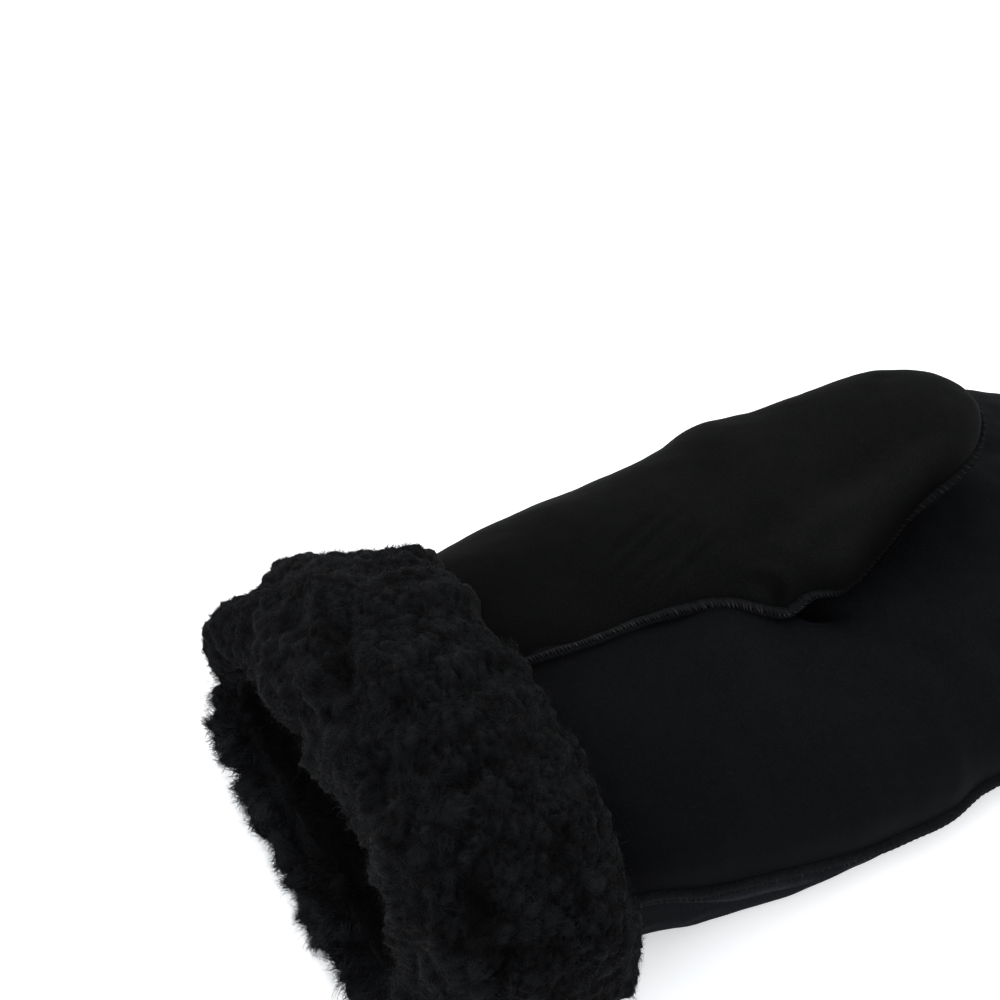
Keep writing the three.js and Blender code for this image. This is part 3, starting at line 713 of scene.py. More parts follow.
def stitches(name, distance, points, shape, beats, slant, seam_brightness, highlight_at):
    """Thread wrapped over the ridge once for each beat. Each stitch is a tube over an arch from one side of
    the ridge to the other, and it moves slant millimetres along the seam on its way. It is thinner on a
    smaller ridge. Each has a tone of its own, times the seam's brightness share, which is painted shade where
    the seam turns in. It is brightest at one given share of its arch, a painted highlight."""
    ahead, out, across, wide, tall, wobble = shape
    random = np.random.default_rng(7)
    beat = np.arange(1, int(beats[-1]))
    at = np.interp(beat + random.uniform(-0.25, 0.25, len(beat)), beats, distance)

    def pick(values):
        return np.stack([np.interp(at, distance, column) for column in np.atleast_2d(values.T)], -1)

    base, fore, up, side = (pick(v)[:, None] for v in (points, ahead, out, across))
    turn = np.linspace(-0.12 * np.pi, 1.12 * np.pi, STITCH_RINGS)
    high, half, shift = pick(tall)[..., None], pick(wide)[..., None] / 2, pick(wobble)[..., None]
    lean = random.uniform(0.6, 1.4, (len(at), 1, 1)) * pick(slant)[..., None]
    reach = -np.cos(turn)[:, None] * (half + 0.12) + shift
    height = bent(np.sin(turn), 0.6)[:, None] * (0.66 * high + 0.1)
    centre = base + side * reach + up * height + fore * lean * np.linspace(-0.5, 0.5, STITCH_RINGS)[:, None]
    run = unit(np.gradient(centre, axis=1))
    level = unit(np.cross(run, fore + 0 * run))
    wide_way = np.cross(level, run)
    sides = np.linspace(0, 2 * np.pi, 5, endpoint=False)[:, None]
    plump = random.uniform(0.7, 1.1, (len(at), 1, 1, 1))
    thick = THREAD_RADIUS * plump * (pick(wide) / RIDGE_WIDTH)[..., None, None]
    around = np.cos(sides) * level[:, :, None] + np.sin(sides) * wide_way[:, :, None]
    piece = mesh_piece(name, *tube(centre[:, :, None] + thick * around))
    tone = random.uniform(0.2, 1.0, (len(at), 1)) ** 1.6 * pick(seam_brightness)
    # Painted highlight: each stitch's tone peaks in a bell round one share of its arch, and elsewhere it is
    # dark
    reached = np.linspace(0, 1, STITCH_RINGS) - pick(highlight_at)
    keep_value(piece, "tone", np.repeat(tone * np.exp(-((reached / 0.11) ** 2)), len(sides), axis=1))
    return piece


side_x = stations(RIDGE_START, HAND_ROUND_FROM, HAND_TIP[0], 60, 60)
near_side = palm_point(side_x, 0, np.zeros(len(side_x)))
far_side = palm_point(side_x, 0, np.full(len(side_x), np.pi))[::-1]
side_line = np.concatenate([near_side, far_side])
from_middle = (side_line - (100, HAND_TIP[1], 0)) * (0.9, 1.3, 0)
sideways = np.sign(from_middle) * (0, 1, 0)
away = mix(sideways, unit(from_middle), smooth(92, 112, side_line[:, 0])[:, None])
side_at, side_line, away = resampled(side_line, away, 0.5)
all_along = np.ones(len(side_at))
# Partly painted highlight: from x 12 to 56 on the near side the raw cut is painted bright for the light that
# falls under the seam, and there the edge flares out
flared_cut_highlight = smooth(12, 24, side_line[:, 0]) * smooth(56, 44, side_line[:, 0]) * (side_line[:, 1] < 0)
side_beats = side_at / SIDE_PITCH
side_flare = 0.1 + 1.5 * flared_cut_highlight
side_rings, side_shape = ridge(side_at, side_line, away, side_beats, SIDE_SIZE * all_along, side_flare, 41)
side_seam = mesh_piece("side_seam_edges", *tube(side_rings[None]))
edge_values(side_seam, side_rings, 1, 0.05, 0.15 + 0.85 * flared_cut_highlight, all_along)
side_stitches = stitches(
    "side_seam_thread",
    side_at,
    side_line,
    side_shape,
    side_beats,
    SIDE_SLANT * all_along,
    all_along,
    SIDE_HIGHLIGHT_AT * all_along,
)


def raw_edge(name, colour, thread, cut):
    """Cut leather edges with the thread's fuzz: lighter than the suede, with coarse grain, and lightest in
    stretches of the side that shows the cut, where part of the lightness is painted highlight. The colour is
    then times the seam's stored brightness share."""
    finish = Finish(name, Roughness=0.85, Specular_IOR_Level=0.04)
    place = finish.place()
    grain = finish.noise(place, 1300, 3, 0.6)
    patches = finish.noise(place, 240, 2)
    shade = finish.ramp(grain * 0.6 + patches * 0.4, (0.36, 0.0), (0.64, 1.0))
    stretches = finish.ramp(finish.noise(place, 70, 3) * 0.7 + grain * 0.3, (0.38, 0.15), (0.6, 1.0))
    edges = finish.blend(finish.kept("raw") * stretches, finish.blend(shade, colour, thread), cut)
    # Painted shade: the edges keep only the stored brightness share of their colour
    edges = finish.dimmed(edges, finish.kept("seam_brightness"))
    return finish.feed(Base_Color=edges, Normal=finish.bump(grain, 0.0005, 0.8))


def twisted_thread(name, dark, light):
    """Dull spun thread: fine dark and light fibres, and each stitch with its own tone."""
    finish = Finish(name, Roughness=0.75, Specular_IOR_Level=0.06)
    place = finish.place()
    ply = finish.noise(place, 3200, 2)
    shade = finish.kept("tone") * (0.7 + ply * 0.6)
    return finish.feed(Base_Color=finish.blend(shade, dark, light), Normal=finish.bump(ply, 0.0002, 0.5))


# The cut colour is the raw leather's lighter edge, brightened further as painted highlight
side_colours = (0.0056, 0.0059, 0.0068), (0.0092, 0.0097, 0.0110), (0.0300, 0.0335, 0.0390)
seam_leather = raw_edge("seam_edge", *side_colours)
seam_thread = twisted_thread("seam_thread", (0.0056, 0.0058, 0.0066), (0.0210, 0.0200, 0.0202))
side_seam.data.materials.append(seam_leather)
side_stitches.data.materials.append(seam_thread)
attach(side_seam, "root")
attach(side_stitches, "root")
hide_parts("side_seam")

# Thumb seam
# The thumb's skin is joined to the palm and to its own underside with the same overcast edge, which comes out
# of the cuff, runs along the foot of the thumb, turns in at the crotch and goes on round the thumb's tip.
THUMB_PITCH, FREE_PITCH = 0.85, 2.0
FOLDED_UP_TO = 108.0
TURNED_IN_DEPTH = 0.8
valley_x = np.arange(RIDGE_START, CROTCH - 2.5, 1.5)
valley_y = valley(valley_x)
valley_line = stacked(valley_x, valley_y, palm_height(valley_x, valley_y))
free_x = stations(CROTCH - 0.5, THUMB_ROUND_FROM, THUMB_TIP[0], 20, 40)
near_line = thumb_point(free_x, 0, seam_turn(free_x))
far_line = thumb_point(free_x, 0, np.full(len(free_x), np.pi))[free_x > FOLDED_UP_TO][::-1]
thumb_line = np.concatenate([valley_line, near_line, far_line])
step = smooth(0.3, 1.0, np.arange(len(valley_x)) / len(valley_x))[:, None]
over_valley = np.array((0, -0.25, 1.0)) * (1 - step) + np.array((0, -1.0, 0.3)) * step
free_line = thumb_line[len(valley_x) :]
around = (free_line - (THUMB_ROUND_FROM, THUMB_TIP[1], 0)) * (1.1, 1.2, 0) + (2, 0, 0)
beside = np.array((0.1, -1, 0.15)) + 0 * around
around = mix(unit(beside), unit(around), smooth(90, 104, free_line[:, :1]))
thumb_at, thumb_line, thumb_away = resampled(thumb_line, np.concatenate([unit(over_valley), around]), 0.42)
turned_in = smooth(65, 75, thumb_line[:, 0]) * smooth(106, 88, thumb_line[:, 0])
turned_in = np.where(thumb_line[:, 1] > THUMB_TIP[1], 0, turned_in)
thumb_line = thumb_line - thumb_away * (TURNED_IN_DEPTH * turned_in)[:, None]
on_free_part = smooth(60, 67, thumb_line[:, 0])
round_tip = smooth(80, 100, thumb_line[:, 0])
thumb_size = 0.9 - 0.25 * on_free_part - 0.25 * turned_in
thumb_beats = np.cumsum(np.gradient(thumb_at) / mix(THUMB_PITCH, FREE_PITCH, round_tip))
no_flare = np.zeros(len(thumb_at))
thumb_rings, thumb_shape = ridge(thumb_at, thumb_line, thumb_away, thumb_beats, thumb_size, no_flare, 51)
thumb_seam = mesh_piece("thumb_seam_edges", *tube(thumb_rings[None]))
# Painted shade: where the seam turns in under the thumb's edge its colour keeps only 15% of its light; round
# the tip it is also a little darker
thumb_seam_brightness = 1 - 0.85 * turned_in
edge_values(thumb_seam, thumb_rings, -1, 0.1, 1 - round_tip, thumb_seam_brightness * (1 - 0.35 * round_tip))
thumb_slant = mix(1.2, 3.0, smooth(20, 50, thumb_line[:, 0])) * (1 - 0.5 * on_free_part)
thumb_stitches = stitches(
    "thumb_seam_thread",
    thumb_at,
    thumb_line,
    thumb_shape,
    thumb_beats,
    thumb_slant,
    thumb_seam_brightness,
    mix(0.40, 0.26, round_tip),
)
thumb_colours = (0.0034, 0.0036, 0.0041), (0.0058, 0.0061, 0.0070), (0.0080, 0.0086, 0.0100)
thumb_edge_leather = raw_edge("thumb_seam_edge", *thumb_colours)
thumb_thread = twisted_thread("thumb_thread", (0.0034, 0.0035, 0.0040), (0.0330, 0.0310, 0.0308))
thumb_seam.data.materials.append(thumb_edge_leather)
thumb_stitches.data.materials.append(thumb_thread)
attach(thumb_seam, "root")
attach(thumb_stitches, "root")
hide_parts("thumb_seam")

# Wool cuff
# The skin's end turned back over the wrist, wool side out: a thick roll of short, dense, curly black fleece
# that holds itself up. The fleece's skin is modelled as soft lumps, and the wool grows out of it in curls.
WOOL_DEPTH = 2.6
CUFF_FRONT, CUFF_BACK = -4.5, -52.0
FAR_PULL = 4.5
LOW_FAR_SWELL = 5.5
LIP_BULGE, LOWER_LIP_BULGE = 5.5, 7.0
OUTER_ROWS, LIP_ROWS = 58, 23
LINING_GAP = 2.3
CUFF_SIDES = 330
CUFF = table(
    "x near far top base",
    (-61, -47, 37, 46, 7),
    (-57, -58, 47, 57, 2),
    (-49, -64, 54, 63, 0),
    (-36, -66.5, 57, 65, 0),
    (-22, -66.5, 54.5, 62.5, 0),
    (-12, -64.5, 52.5, 58.5, 0),
    (-7, -60, 51.5, 54, 1),
    (-3, -53, 51, 49, 2),
)


def far_share(turn):
    """0 on the near side of a section and 1 on its far one, as a cosine."""
    return 0.5 - 0.5 * np.cos(turn)


def cuff_point(x, inset, turn):
    """turn 0 is the near side, pi/2 the top and pi the far side of a section that is squarer than an ellipse
    on its near side and rounder on its far one. It is squarest where it wraps the hand's lower far edge, and
    it swells out there."""
    near, far = along(CUFF, "near", x) + inset, along(CUFF, "far", x) - inset
    top, base = along(CUFF, "top", x) - inset, along(CUFF, "base", x) + inset * 0.6
    low_far = smooth(0.0, -0.7, np.sin(turn)) * smooth(0.45, 0.8, far_share(turn)) * smooth(-60, -46, x)
    power = mix(mix(0.85, 1.0, far_share(turn)), 0.55, low_far)
    y = (near + far) / 2 - (far - near) / 2 * bent(np.cos(turn), power) + LOW_FAR_SWELL * low_far
    return stacked(x, y, (top + base) / 2 + (top - base) / 2 * bent(np.sin(turn), power))


def hand_ring(x, inset, turn):
    """The whole section of the hand: the palm for turns up to pi, then the back."""
    above = palm_point(x, inset, np.minimum(turn, np.pi))
    below = back_point(x, inset, np.clip(2 * np.pi - turn, 0, np.pi))
    return np.where((turn <= np.pi)[..., None], above, below)


def rolled(outer, inner, push, share):
    """Half an ellipse from the outer ring to the inner one, pushed out along x by push at its middle. push is
    one number or one for each point of the rings."""
    middle, half = (outer + inner) / 2, (outer - inner) / 2
    turn = np.pi * share[:, None, None]
    bulge = np.array((1.0, 0.0, 0.0)) * np.broadcast_to(push, len(outer))[:, None]
    return middle + half * np.cos(turn) + bulge * np.sin(turn)


def wrapped(points):
    """Faces of a grid that closes on itself both ways."""
    index = np.arange(points.shape[0] * points.shape[1]).reshape(points.shape[:2])
    below, beside = np.roll(index, -1, 0), np.roll(index, -1, 1)
    return np.stack([index, below, np.roll(below, -1, 1), beside], -1).reshape(-1, 4)


cuff_turns = np.linspace(0, 2 * np.pi, CUFF_SIDES, endpoint=False)
front_x = CUFF_FRONT - FAR_PULL * smooth(0.46, 0.7, far_share(cuff_turns))
outer_x = mix(front_x, CUFF_BACK, np.linspace(0, 1, OUTER_ROWS)[:, None])
outer_skin = cuff_point(outer_x, WOOL_DEPTH, cuff_turns)
lip_inner = hand_ring(CUFF_BACK, LINING_GAP + 1.5, cuff_turns)
lower_lip = smooth(3.5, 4.1, cuff_turns) * smooth(5.7, 5.1, cuff_turns)
lip_push = -mix(LIP_BULGE, LOWER_LIP_BULGE, lower_lip)
lip = rolled(outer_skin[-1], lip_inner, lip_push, np.linspace(0, 1, LIP_ROWS + 1)[1:])
throat = hand_ring(-49.5, LINING_GAP, cuff_turns)[None]
sleeve = hand_ring(np.array([[-47.5], [-8.0]]), -0.5, cuff_turns)
front = rolled(sleeve[-1], outer_skin[0], 1.5, np.linspace(0, 1, 8)[1:-1])
cuff_grid = np.concatenate([outer_skin, lip, throat, sleeve, front])
WOOLLY_ROWS = OUTER_ROWS + LIP_ROWS
woolly = np.zeros(len(cuff_grid))
woolly[:WOOLLY_ROWS] = 1
woolly[-len(front) :] = 1


def nearest_two(points, centres, block=4000):
    """For each point the nearest centre's number, its distance, and the distance to the next one."""
    flat = points.reshape(-1, 3)
    first, near, second = [], [], []
    for start in range(0, len(flat), block):
        part = flat[start : start + block]
        square = (part**2).sum(1)[:, None] + (centres**2).sum(1) - 2 * part @ centres.T
        two = np.argpartition(square, 1, axis=1)[:, :2]
        pair = np.sqrt(np.maximum(np.take_along_axis(square, two, 1), 0))
        order = np.argsort(pair, axis=1)
        pair, two = np.take_along_axis(pair, order, 1), np.take_along_axis(two, order, 1)
        first.append(two[:, 0])
        near.append(pair[:, 0])
        second.append(pair[:, 1])
    return (np.concatenate(v).reshape(points.shape[:-1]) for v in (first, near, second))


def scatter(grid, weight, count, random):
    """Random places on a grid of points, as many to a square millimetre wherever the weight is the same.
    Gives row and column numbers with fractions."""
    side_a, side_b = np.diff(grid, axis=0)[:, :-1], np.diff(grid, axis=1)[:-1]
    area = np.linalg.norm(np.cross(side_a, side_b), axis=-1) * weight[:-1, :-1]
    total = np.cumsum(area.ravel())
    cell = np.searchsorted(total, random.random(count) * total[-1])
    i, j = np.unravel_index(np.minimum(cell, area.size - 1), area.shape)
    return i + random.random(count), j + random.random(count)


def read_at(values, row, column):
    """Values of a grid between its points, by bilinear mixing."""
    i, j = row.astype(int), column.astype(int)
    u, v = (row - i)[:, None], (column - j)[:, None]
    return mix(mix(values[i, j], values[i + 1, j], u), mix(values[i, j + 1], values[i + 1, j + 1], u), v)


def closed(values):
    """A ring's values with the first column again at its end."""
    return np.concatenate([values, values[:, :1]], axis=1)


cuff_random = np.random.default_rng(2024)
LOCKS, SMALL_LOCKS = 1700, 6400
woolly_grid = closed(cuff_grid[:WOOLLY_ROWS])
evenly = np.ones(woolly_grid.shape[:2])
locks = read_at(woolly_grid, *scatter(woolly_grid, evenly, LOCKS, cuff_random))
lock_height = cuff_random.uniform(0.0, 1.7, LOCKS) * (1 + 0.4 * smooth(-48, -54, locks[:, 0]))
small_locks = read_at(woolly_grid, *scatter(woolly_grid, evenly, SMALL_LOCKS, cuff_random))


def domed(points, centres):
    """Each point's own centre, and a dome over each centre that falls to 0 halfway to the next one."""
    own, near, following = nearest_two(points, centres)
    return own, (1 - np.minimum(2 * near / np.maximum(near + following, 1e-6), 1) ** 2) ** 0.6


own_lock, dome = domed(cuff_grid, locks)
own_small, small_dome = domed(cuff_grid, small_locks)
crest = 0.6 * dome + 0.4 * small_dome
cuff_out = -normals_of(cuff_grid)


def fold(points, start, end, height, width):
    """A ridge, or with a negative height a dent, along a straight line in space, as a bell across it."""
    start, end = np.array(start, float), np.array(end, float)
    t = np.clip(((points - start) @ (end - start)) / ((end - start) @ (end - start)), 0, 1)
    gap = np.linalg.norm(points - start - t[..., None] * (end - start), axis=-1)
    return height * np.exp(-((gap / width) ** 2))


WOOL_FOLDS = (
    ((-38, 30, 57), (-48, 4, 59), 1.8, 3.4),
    ((-37, 20, 61), (-42, 4, 61), -3.6, 2.6),
    ((-38, -46, 56), (-35, -50, 53), -3.4, 2.4),
    ((-33, -57, 49), (-36, -59, 46), -3.0, 2.6),
)
SHADE_PATCH_LINES = (
    ((-35, -43, 55), (-37, -50, 51), 1.0, 2.8),
    ((-43, -50, 49), (-24, -59, 46), 0.6, 2.6),
    ((-12, -41, 53), (-19, -44, 54), 0.6, 2.8),
    ((-41, 15, 59), (-41, 6, 60), 0.6, 3.2),
)
cuff_x, cuff_y, cuff_z = np.moveaxis(cuff_grid, -1, 0)
swell = 1.1 * ripples(cuff_x + cuff_z, cuff_y, 24, 61) + 0.7 * ripples(cuff_x + cuff_z, cuff_y, 10, 63)
for line in WOOL_FOLDS:
    swell += fold(cuff_grid, *line)


def shade_patches(points):
    """Painted shade in dark patches of the wool: a bell across each of a few short lines."""
    return sum(fold(points, *line) for line in SHADE_PATCH_LINES)


small_height = cuff_random.uniform(0.0, 1.0, SMALL_LOCKS)
fleece = dome * lock_height[own_lock] + small_dome * small_height[own_small] + swell
fleece += 0.15 * ripples(cuff_x, cuff_y + cuff_z, 2.6, 62, 30)
cuff_grid = cuff_grid + cuff_out * (fleece * woolly[:, None])[..., None]
cuff_grid[..., 2] = np.maximum(cuff_grid[..., 2], 0.15)
cuff_skin = mesh_piece("cuff_fleece", cuff_grid.reshape(-1, 3), wrapped(cuff_grid)[:, ::-1])
# Painted shade: the fleece's colour follows the crest, black in the clefts between the locks, and it is
# darker still on the shade patches
keep_value(cuff_skin, "crest", crest * (woolly[:, None] - 0.8 * shade_patches(cuff_grid)))


def strands(name, root, out, lean, bend, length, width, twist, gather, tone, random, steps):
    """Flat tapered hairs. Each starts along out and turns towards lean, by the angle bend[0] at its root and
    bend[1] at its tip, while twist moves it sideways into a coil. Along its length it moves by the vector
    gather, which draws the hairs of one lock together. The ribbon's width lies across its own curl. Two
    values go with the points: how far out along the hair they are, and the hair's own tone."""
    lean = unit(lean - (lean * out).sum(-1, keepdims=True) * out)
    across = np.cross(out, lean)
    t = (np.arange(steps) + 0.5) / steps
    angle = bend[0][:, None] + (bend[1] - bend[0])[:, None] * t**1.1
    wobble = 0.16 * np.sin(random.uniform(0, 2 * np.pi, (len(root), 1)) + 5 * t)
    run = np.cos(angle)[..., None] * out[:, None] + np.sin(angle)[..., None] * lean[:, None]
    run = unit(run + (twist[:, None] + wobble)[..., None] * across[:, None]) * (length / steps)[:, None, None]
    reach = np.linspace(0, 1, steps + 1)
    path = np.concatenate([root[:, None], root[:, None] + np.cumsum(run, axis=1)], axis=1)
    path = path + gather[:, None] * (reach**0.8)[:, None]
    taper = width[:, None] / 2 * (1 - 0.7 * reach**1.5)
    half = across[:, None] * taper[..., None]
    points = np.stack([path - half, path + half], axis=2)
    points[..., 2] = np.maximum(points[..., 2], 0.12)
    index = np.arange(points.size // 3).reshape(points.shape[:3])
    faces = np.stack([index[:, :-1, 1], index[:, 1:, 1], index[:, 1:, 0], index[:, :-1, 0]], -1)
    piece = mesh_piece(name, points.reshape(-1, 3), faces.reshape(-1, 4))
    # Painted shade: the material darkens each hair towards its root by this share, 0 at the root and 1 at the
    # tip
    keep_value(piece, "outward_light", np.repeat(0 * tone[:, None] + reach, 2, axis=1))
    keep_value(piece, "tone", np.repeat(tone[:, None] + 0 * reach, 2, axis=1))
    return piece


def fleece_finish(name, dark, light, patch, hairs):
    """Black wool. Fine fibres and patches vary it. Where it is hairs each has its own tone and painted shade
    towards its root, and otherwise painted shade makes it black in the clefts between the locks."""
    finish = Finish(name, Roughness=0.85, Specular_IOR_Level=0.05, Sheen_Weight=0.02, Sheen_Roughness=0.5)
    place = finish.place()
    fibre = finish.noise(place, 2600, 2, 0.6)
    shade = finish.noise(place, patch, 2) * 0.5 + fibre * 0.5
    if hairs:
        shade = shade * 0.25 + finish.kept("tone") * 0.5 + finish.kept("outward_light") * 0.25
    else:
        shade = shade * 0.6 + finish.kept("crest") * 0.55 - 0.17
    colour = finish.blend(finish.ramp(shade, (0.25, 0.0), (0.7, 1.0)), dark, light)
    return finish.feed(Base_Color=colour, Normal=finish.bump(fibre, 0.0006, 0.8))


fleece_base = fleece_finish("fleece_base", (0.0004, 0.0004, 0.0005), (0.0084, 0.0089, 0.0102), 190, False)
fleece_curl = fleece_finish("fleece_curl", (0.0006, 0.0006, 0.0007), (0.0104, 0.0111, 0.0128), 160, True)
cuff_skin.data.materials.append(fleece_base)
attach(cuff_skin, "root")
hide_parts("wool_cuff")

grown, grown_out = closed(cuff_grid[:WOOLLY_ROWS]), closed(cuff_out[:WOOLLY_ROWS])
grown_lock = closed(own_lock[:WOOLLY_ROWS])
grown_crest = closed(crest[:WOOLLY_ROWS, :, None])
seen = (0.15 + 0.85 * smooth(1.5, 9, grown[..., 2])) * (0.5 + 0.5 * grown_crest[..., 0])
MEAN_TONE = 0.45
DARK_LOCKS = 0.16
lock_tone = cuff_random.uniform(0.2, 0.8, LOCKS) - 0.45 * (cuff_random.random(LOCKS) < DARK_LOCKS)
lock_x, lock_y, lock_z = locks.T
lock_tone += 0.15 * ripples(lock_x + lock_z, lock_y - lock_z, 19, 65)
lock_tone += 0.24 * ripples(lock_x + lock_z, lock_y - lock_z, 10, 66)
# The locks on the shade patches get darker tones, a painted shade
lock_tone = MEAN_TONE + (lock_tone - MEAN_TONE) * (1 + 0.5 * smooth(-30, -48, lock_y)) - 1.2 * shade_patches(locks)
wispy = cuff_random.random(LOCKS) < 0.3
lock_heading = 2.5 * ripples(lock_x + lock_z, lock_y, 22, 64)
lock_heading = lock_heading + cuff_random.normal(size=LOCKS) * 0.8
lock_curl = cuff_random.uniform(1.4, 4.4, LOCKS)


def rooted(grid, out, weight, count):
    """Random places for hairs: their rows and columns, their roots and the directions out of the skin."""
    row, column = scatter(grid, weight, count, cuff_random)
    return row, column, read_at(grid, row, column), unit(read_at(out, row, column))


def grow(name, count, lengths, widths, ends, spread, gathered, steps, chosen=None):
    """Short hairs all over the cuff's skin, or over the chosen locks. Each bends over in a direction near its
    lock's own, within the spread, by an angle from its lock's curl and the range ends, and is drawn towards
    the lock's middle by the share gathered."""
    weight = seen if chosen is None else seen * chosen[grown_lock]
    row, column, root, out = rooted(grown, grown_out, weight, count)
    lock = grown_lock[row.astype(int), column.astype(int)]
    in_lock = root - locks[lock]
    in_lock = in_lock - (in_lock * out).sum(-1, keepdims=True) * out
    lengthwise = unit(np.array((1.0, 0.0, 0.0)) - out[:, :1] * out)
    crosswise = np.cross(out, lengthwise)
    heading = lock_heading[lock] + cuff_random.normal(size=count) * spread
    lean = np.cos(heading)[:, None] * lengthwise + np.sin(heading)[:, None] * crosswise
    # Painted shade: hairs rooted in the clefts get darker tones and hairs on the crests lighter ones
    top = read_at(grown_crest, row, column)[:, 0]
    x, y, z = root.T
    at_mouth = smooth(-50, -56, x - SLANT_OVER * (z - SLANT_LEVEL) + SLANT_ACROSS * y)
    low_lip = (at_mouth * smooth(34, 16, z))[:, None] * 0.6
    lean = mix(lean, np.array((-1.0, 0.0, -0.15)), low_lip)
    end = mix(lock_curl[lock], cuff_random.uniform(*ends, count), cuff_random.uniform(0.4, 1.0, count))
    hairs = strands(
        name,
        root - out * 0.25,
        out,
        lean,
        (cuff_random.uniform(0.0, 0.8, count), mix(end, 1.1, low_lip[:, 0])),
        cuff_random.uniform(*lengths, count) * (1 + 0.9 * low_lip[:, 0]),
        cuff_random.uniform(*widths, count),
        cuff_random.normal(size=count) * 0.7,
        -in_lock * cuff_random.uniform(0, gathered, count)[:, None],
        lock_tone[lock] + 0.8 * (top - 0.72) + cuff_random.normal(size=count) * 0.07,
        cuff_random,
        steps,
    )
    hairs.data.materials.append(fleece_curl)
    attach(hairs, "root")


for part in (1, 2):
    grow(f"cuff_curls_{part}", 19000, (1.8, 3.6), (0.09, 0.14), (1.6, 5.4), 1.0, 0.45, 4)
    grow(f"cuff_down_{part}", 22000, (0.8, 1.9), (0.09, 0.14), (0.4, 2.6), 2.5, 0.2, 2)
grow("cuff_wisps", 5500, (3.0, 5.2), (0.09, 0.13), (1.2, 3.6), 0.3, 0.5, 5, wispy)

# The lower lip's longer wool, in tufts that stick out of the mouth. Their colour is lighter than the other
# wool's as painted rim light, and some of them carry painted highlights
LIP_HAIRS = 7500
LIP_HIGHLIGHTS = ((3.95, 0.25), (4.56, 0.12), (5.02, 0.12))
lip_rows = slice(OUTER_ROWS + 7, OUTER_ROWS + 19)
lip_grid, lip_out = closed(cuff_grid[lip_rows]), closed(cuff_out[lip_rows])
lip_weight = closed(np.broadcast_to(lower_lip, cuff_grid.shape[:2])[lip_rows, :, None])[..., 0]
row, column, lip_root, lip_way = rooted(lip_grid, lip_out, lip_weight, LIP_HAIRS)
lip_tuft = closed(own_lock[lip_rows])[row.astype(int), column.astype(int)]
lip_turn = column * 2 * np.pi / CUFF_SIDES
lip_highlight = sum(np.exp(-(((lip_turn - turn) / width) ** 2)) for turn, width in LIP_HIGHLIGHTS)
lip_sideways = cuff_random.normal(size=(LOCKS, 3)) * 0.5
lip_lean = np.array((-1.0, 0.0, 0.25)) + lip_sideways[lip_tuft]
lip_lean = lip_lean + cuff_random.normal(size=lip_root.shape) * 0.2
tufts = strands(
    "lip_tufts",
    lip_root,
    lip_way,
    lip_lean,
    (cuff_random.uniform(0.2, 0.9, LIP_HAIRS), cuff_random.uniform(0.5, 1.9, LIP_HAIRS)),
    cuff_random.uniform(1.8, 3.6, LIP_HAIRS) * cuff_random.uniform(0.5, 1.4, LOCKS)[lip_tuft],
    cuff_random.uniform(0.11, 0.18, LIP_HAIRS),
    cuff_random.normal(size=LIP_HAIRS) * 0.3,
    (locks[lip_tuft] - lip_root) * cuff_random.uniform(0.5, 0.9, LIP_HAIRS)[:, None],
    0.2 + 0.3 * cuff_random.random(LOCKS)[lip_tuft] + 0.5 * lip_highlight,
    cuff_random,
    4,
)
# Painted rim light: the lip tufts' colours are about twice the other wool's
lip_curl_painted_rim_light = fleece_finish("lip_curl_painted_rim_light", (0.0022, 0.0024, 0.0027), (0.0190, 0.0202, 0.0228), 160, True)
tufts.data.materials.append(lip_curl_painted_rim_light)
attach(tufts, "root")

# Wool lining
# The same skin's wool inside the wrist, straighter and pressed flat by the hand. It covers the walls inside
# the mouth.
LINING_END = 12.0
LINING_DEPTH = 5.2
lining_turns = np.linspace(0, 2 * np.pi, 180, endpoint=False)
lining_x = np.linspace(CUFF_BACK - 1, LINING_END, 40)[:, None]
lining_in = hand_ring(lining_x, LINING_DEPTH, lining_turns)
lining_dip = ripples(lining_x, lining_in[..., 1] + lining_in[..., 2], 7, 71)
lining_in = puffed(lining_in, 0.5 * lining_dip)
lining_out = hand_ring(np.linspace(LINING_END, CUFF_BACK - 1, 4)[:, None], LINING_GAP, lining_turns)
lining_grid = np.concatenate([lining_in, lining_out])
lining = mesh_piece("lining_fleece", lining_grid.reshape(-1, 3), wrapped(lining_grid)[:, ::-1])
lining_base = fleece_finish("lining_base", (0.0006, 0.0006, 0.0007), (0.0040, 0.0042, 0.0046), 240, False)
lining_wool = fleece_finish("lining_wool", (0.0010, 0.0011, 0.0012), (0.0080, 0.0084, 0.0094), 200, True)
lining.data.materials.append(lining_base)
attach(lining, "root")
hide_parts("wool_lining")

LINING_HAIRS = 8000
lining_closed = closed(lining_in)
lining_normal = -normals_of(lining_closed)
near_mouth = 0.35 + smooth(0, -48, lining_closed[..., 0])
row, column, hair_root, hair_out = rooted(lining_closed, lining_normal, near_mouth, LINING_HAIRS)
hair_lean = np.array((-1.0, 0.0, 0.0)) + cuff_random.normal(size=hair_root.shape) * 0.35
hairs = strands(
    "lining_hairs",
    hair_root,
    hair_out,
    hair_lean,
    (cuff_random.uniform(0.0, 0.6, LINING_HAIRS), cuff_random.uniform(0.7, 1.6, LINING_HAIRS)),
    cuff_random.uniform(3.0, 5.6, LINING_HAIRS),
    cuff_random.uniform(0.16, 0.26, LINING_HAIRS),
    cuff_random.normal(size=LINING_HAIRS) * 0.3,
    0 * hair_root,
    cuff_random.uniform(0.2, 0.8, LINING_HAIRS),
    cuff_random,
    4,
)
hairs.data.materials.append(lining_wool)
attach(hairs, "root")

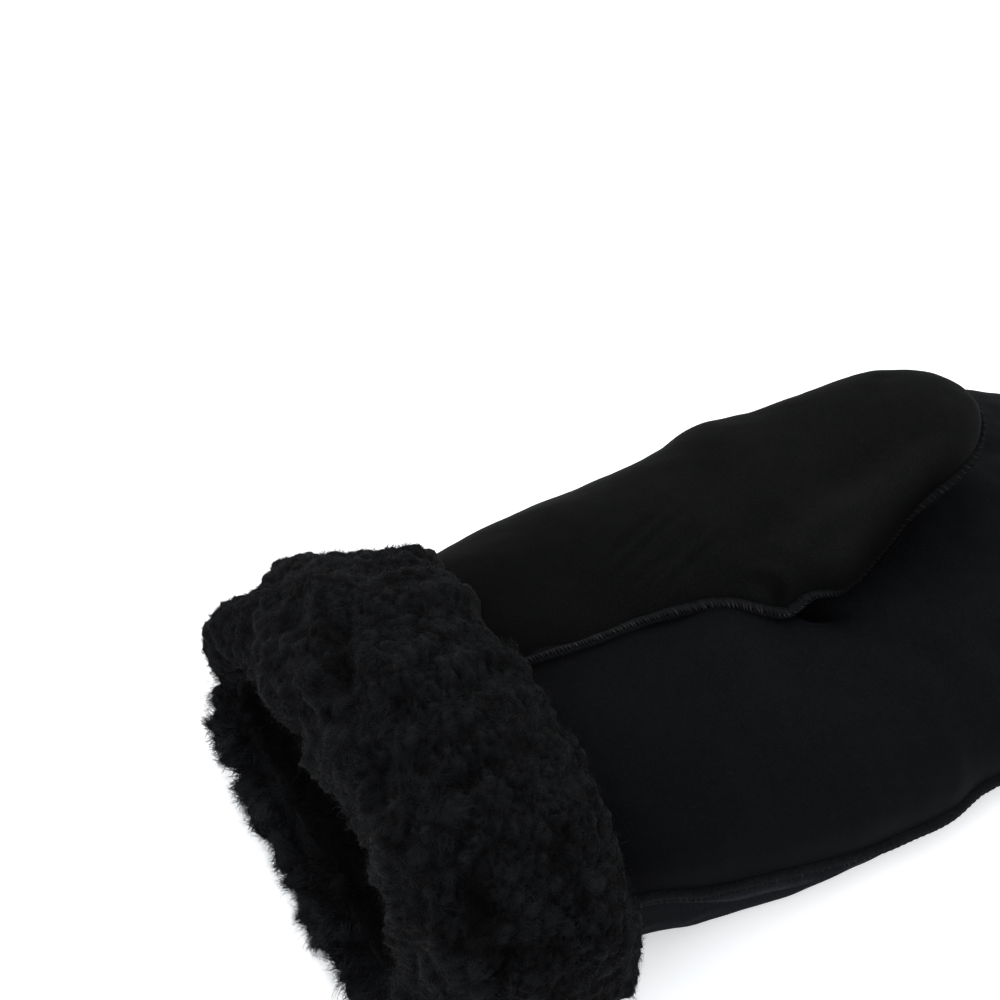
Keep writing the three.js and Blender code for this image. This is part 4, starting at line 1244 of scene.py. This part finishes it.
# Floor, light and camera
# A white studio: a pale floor, a bright even surround and two large soft lamps. The camera looks down at the
# mitten over its open end, close up, as in the photograph.
FLOOR_SIZE = 6.0
CAMERA_PLACE = (-0.1461, -0.1599, 0.3202)
CAMERA_TARGET = (-0.03465, 0.0846, 0.0)
LENS = 55.0
half = FLOOR_SIZE / 2
corners = [(-half, -half, 0), (half, -half, 0), (half, half, 0), (-half, half, 0)]
paper = bpy.data.meshes.new("floor")
paper.from_pydata(corners, [], [(0, 1, 2, 3)])
floor = bpy.data.objects.new("floor", paper)
bpy.context.scene.collection.objects.link(floor)
floor_finish = Finish("floor_paper", Roughness=0.9, Specular_IOR_Level=0.1)
floor_finish.shader.inputs["Base Color"].default_value = (0.90, 0.90, 0.90, 1)
floor_finish.shader.inputs["Emission Color"].default_value = (1, 1, 1, 1)
floor_finish.shader.inputs["Emission Strength"].default_value = 0.4
floor.data.materials.append(floor_finish.material)

world = bpy.data.worlds.new("white_surround")
bpy.context.scene.world = world
world.use_nodes = True
surround = world.node_tree.nodes["Background"]
surround.inputs["Color"].default_value = (0.93, 0.96, 1.0, 1)
surround.inputs["Strength"].default_value = 0.95


def soft_lamp(name, place, target, size, power, colour):
    """A square lamp that faces its target."""
    light = bpy.data.lights.new(name, "AREA")
    light.shape, light.size, light.energy, light.color = "SQUARE", size, power, colour
    lamp = bpy.data.objects.new(name, light)
    lamp.location = place
    lamp.rotation_euler = (Vector(target) - Vector(place)).to_track_quat("-Z", "Y").to_euler()
    bpy.context.scene.collection.objects.link(lamp)


soft_lamp("lamp_behind", (0.35, 0.9, 0.9), (0.0, 0.0, 0.02), 0.8, 9.0, (1.0, 0.99, 0.97))
soft_lamp("lamp_left", (-0.9, -0.2, 0.8), (0.0, 0.0, 0.02), 0.7, 4.0, (0.97, 0.98, 1.0))

view = bpy.data.cameras.new("camera")
view.lens, view.sensor_width = LENS, 36.0
view.clip_start, view.clip_end = 0.01, 20.0
camera = bpy.data.objects.new("camera", view)
camera.location = CAMERA_PLACE
camera.rotation_euler = (Vector(CAMERA_TARGET) - Vector(CAMERA_PLACE)).to_track_quat("-Z", "Y").to_euler()
bpy.context.scene.collection.objects.link(camera)
bpy.context.scene.camera = camera
bpy.context.scene.view_settings.view_transform = "Standard"
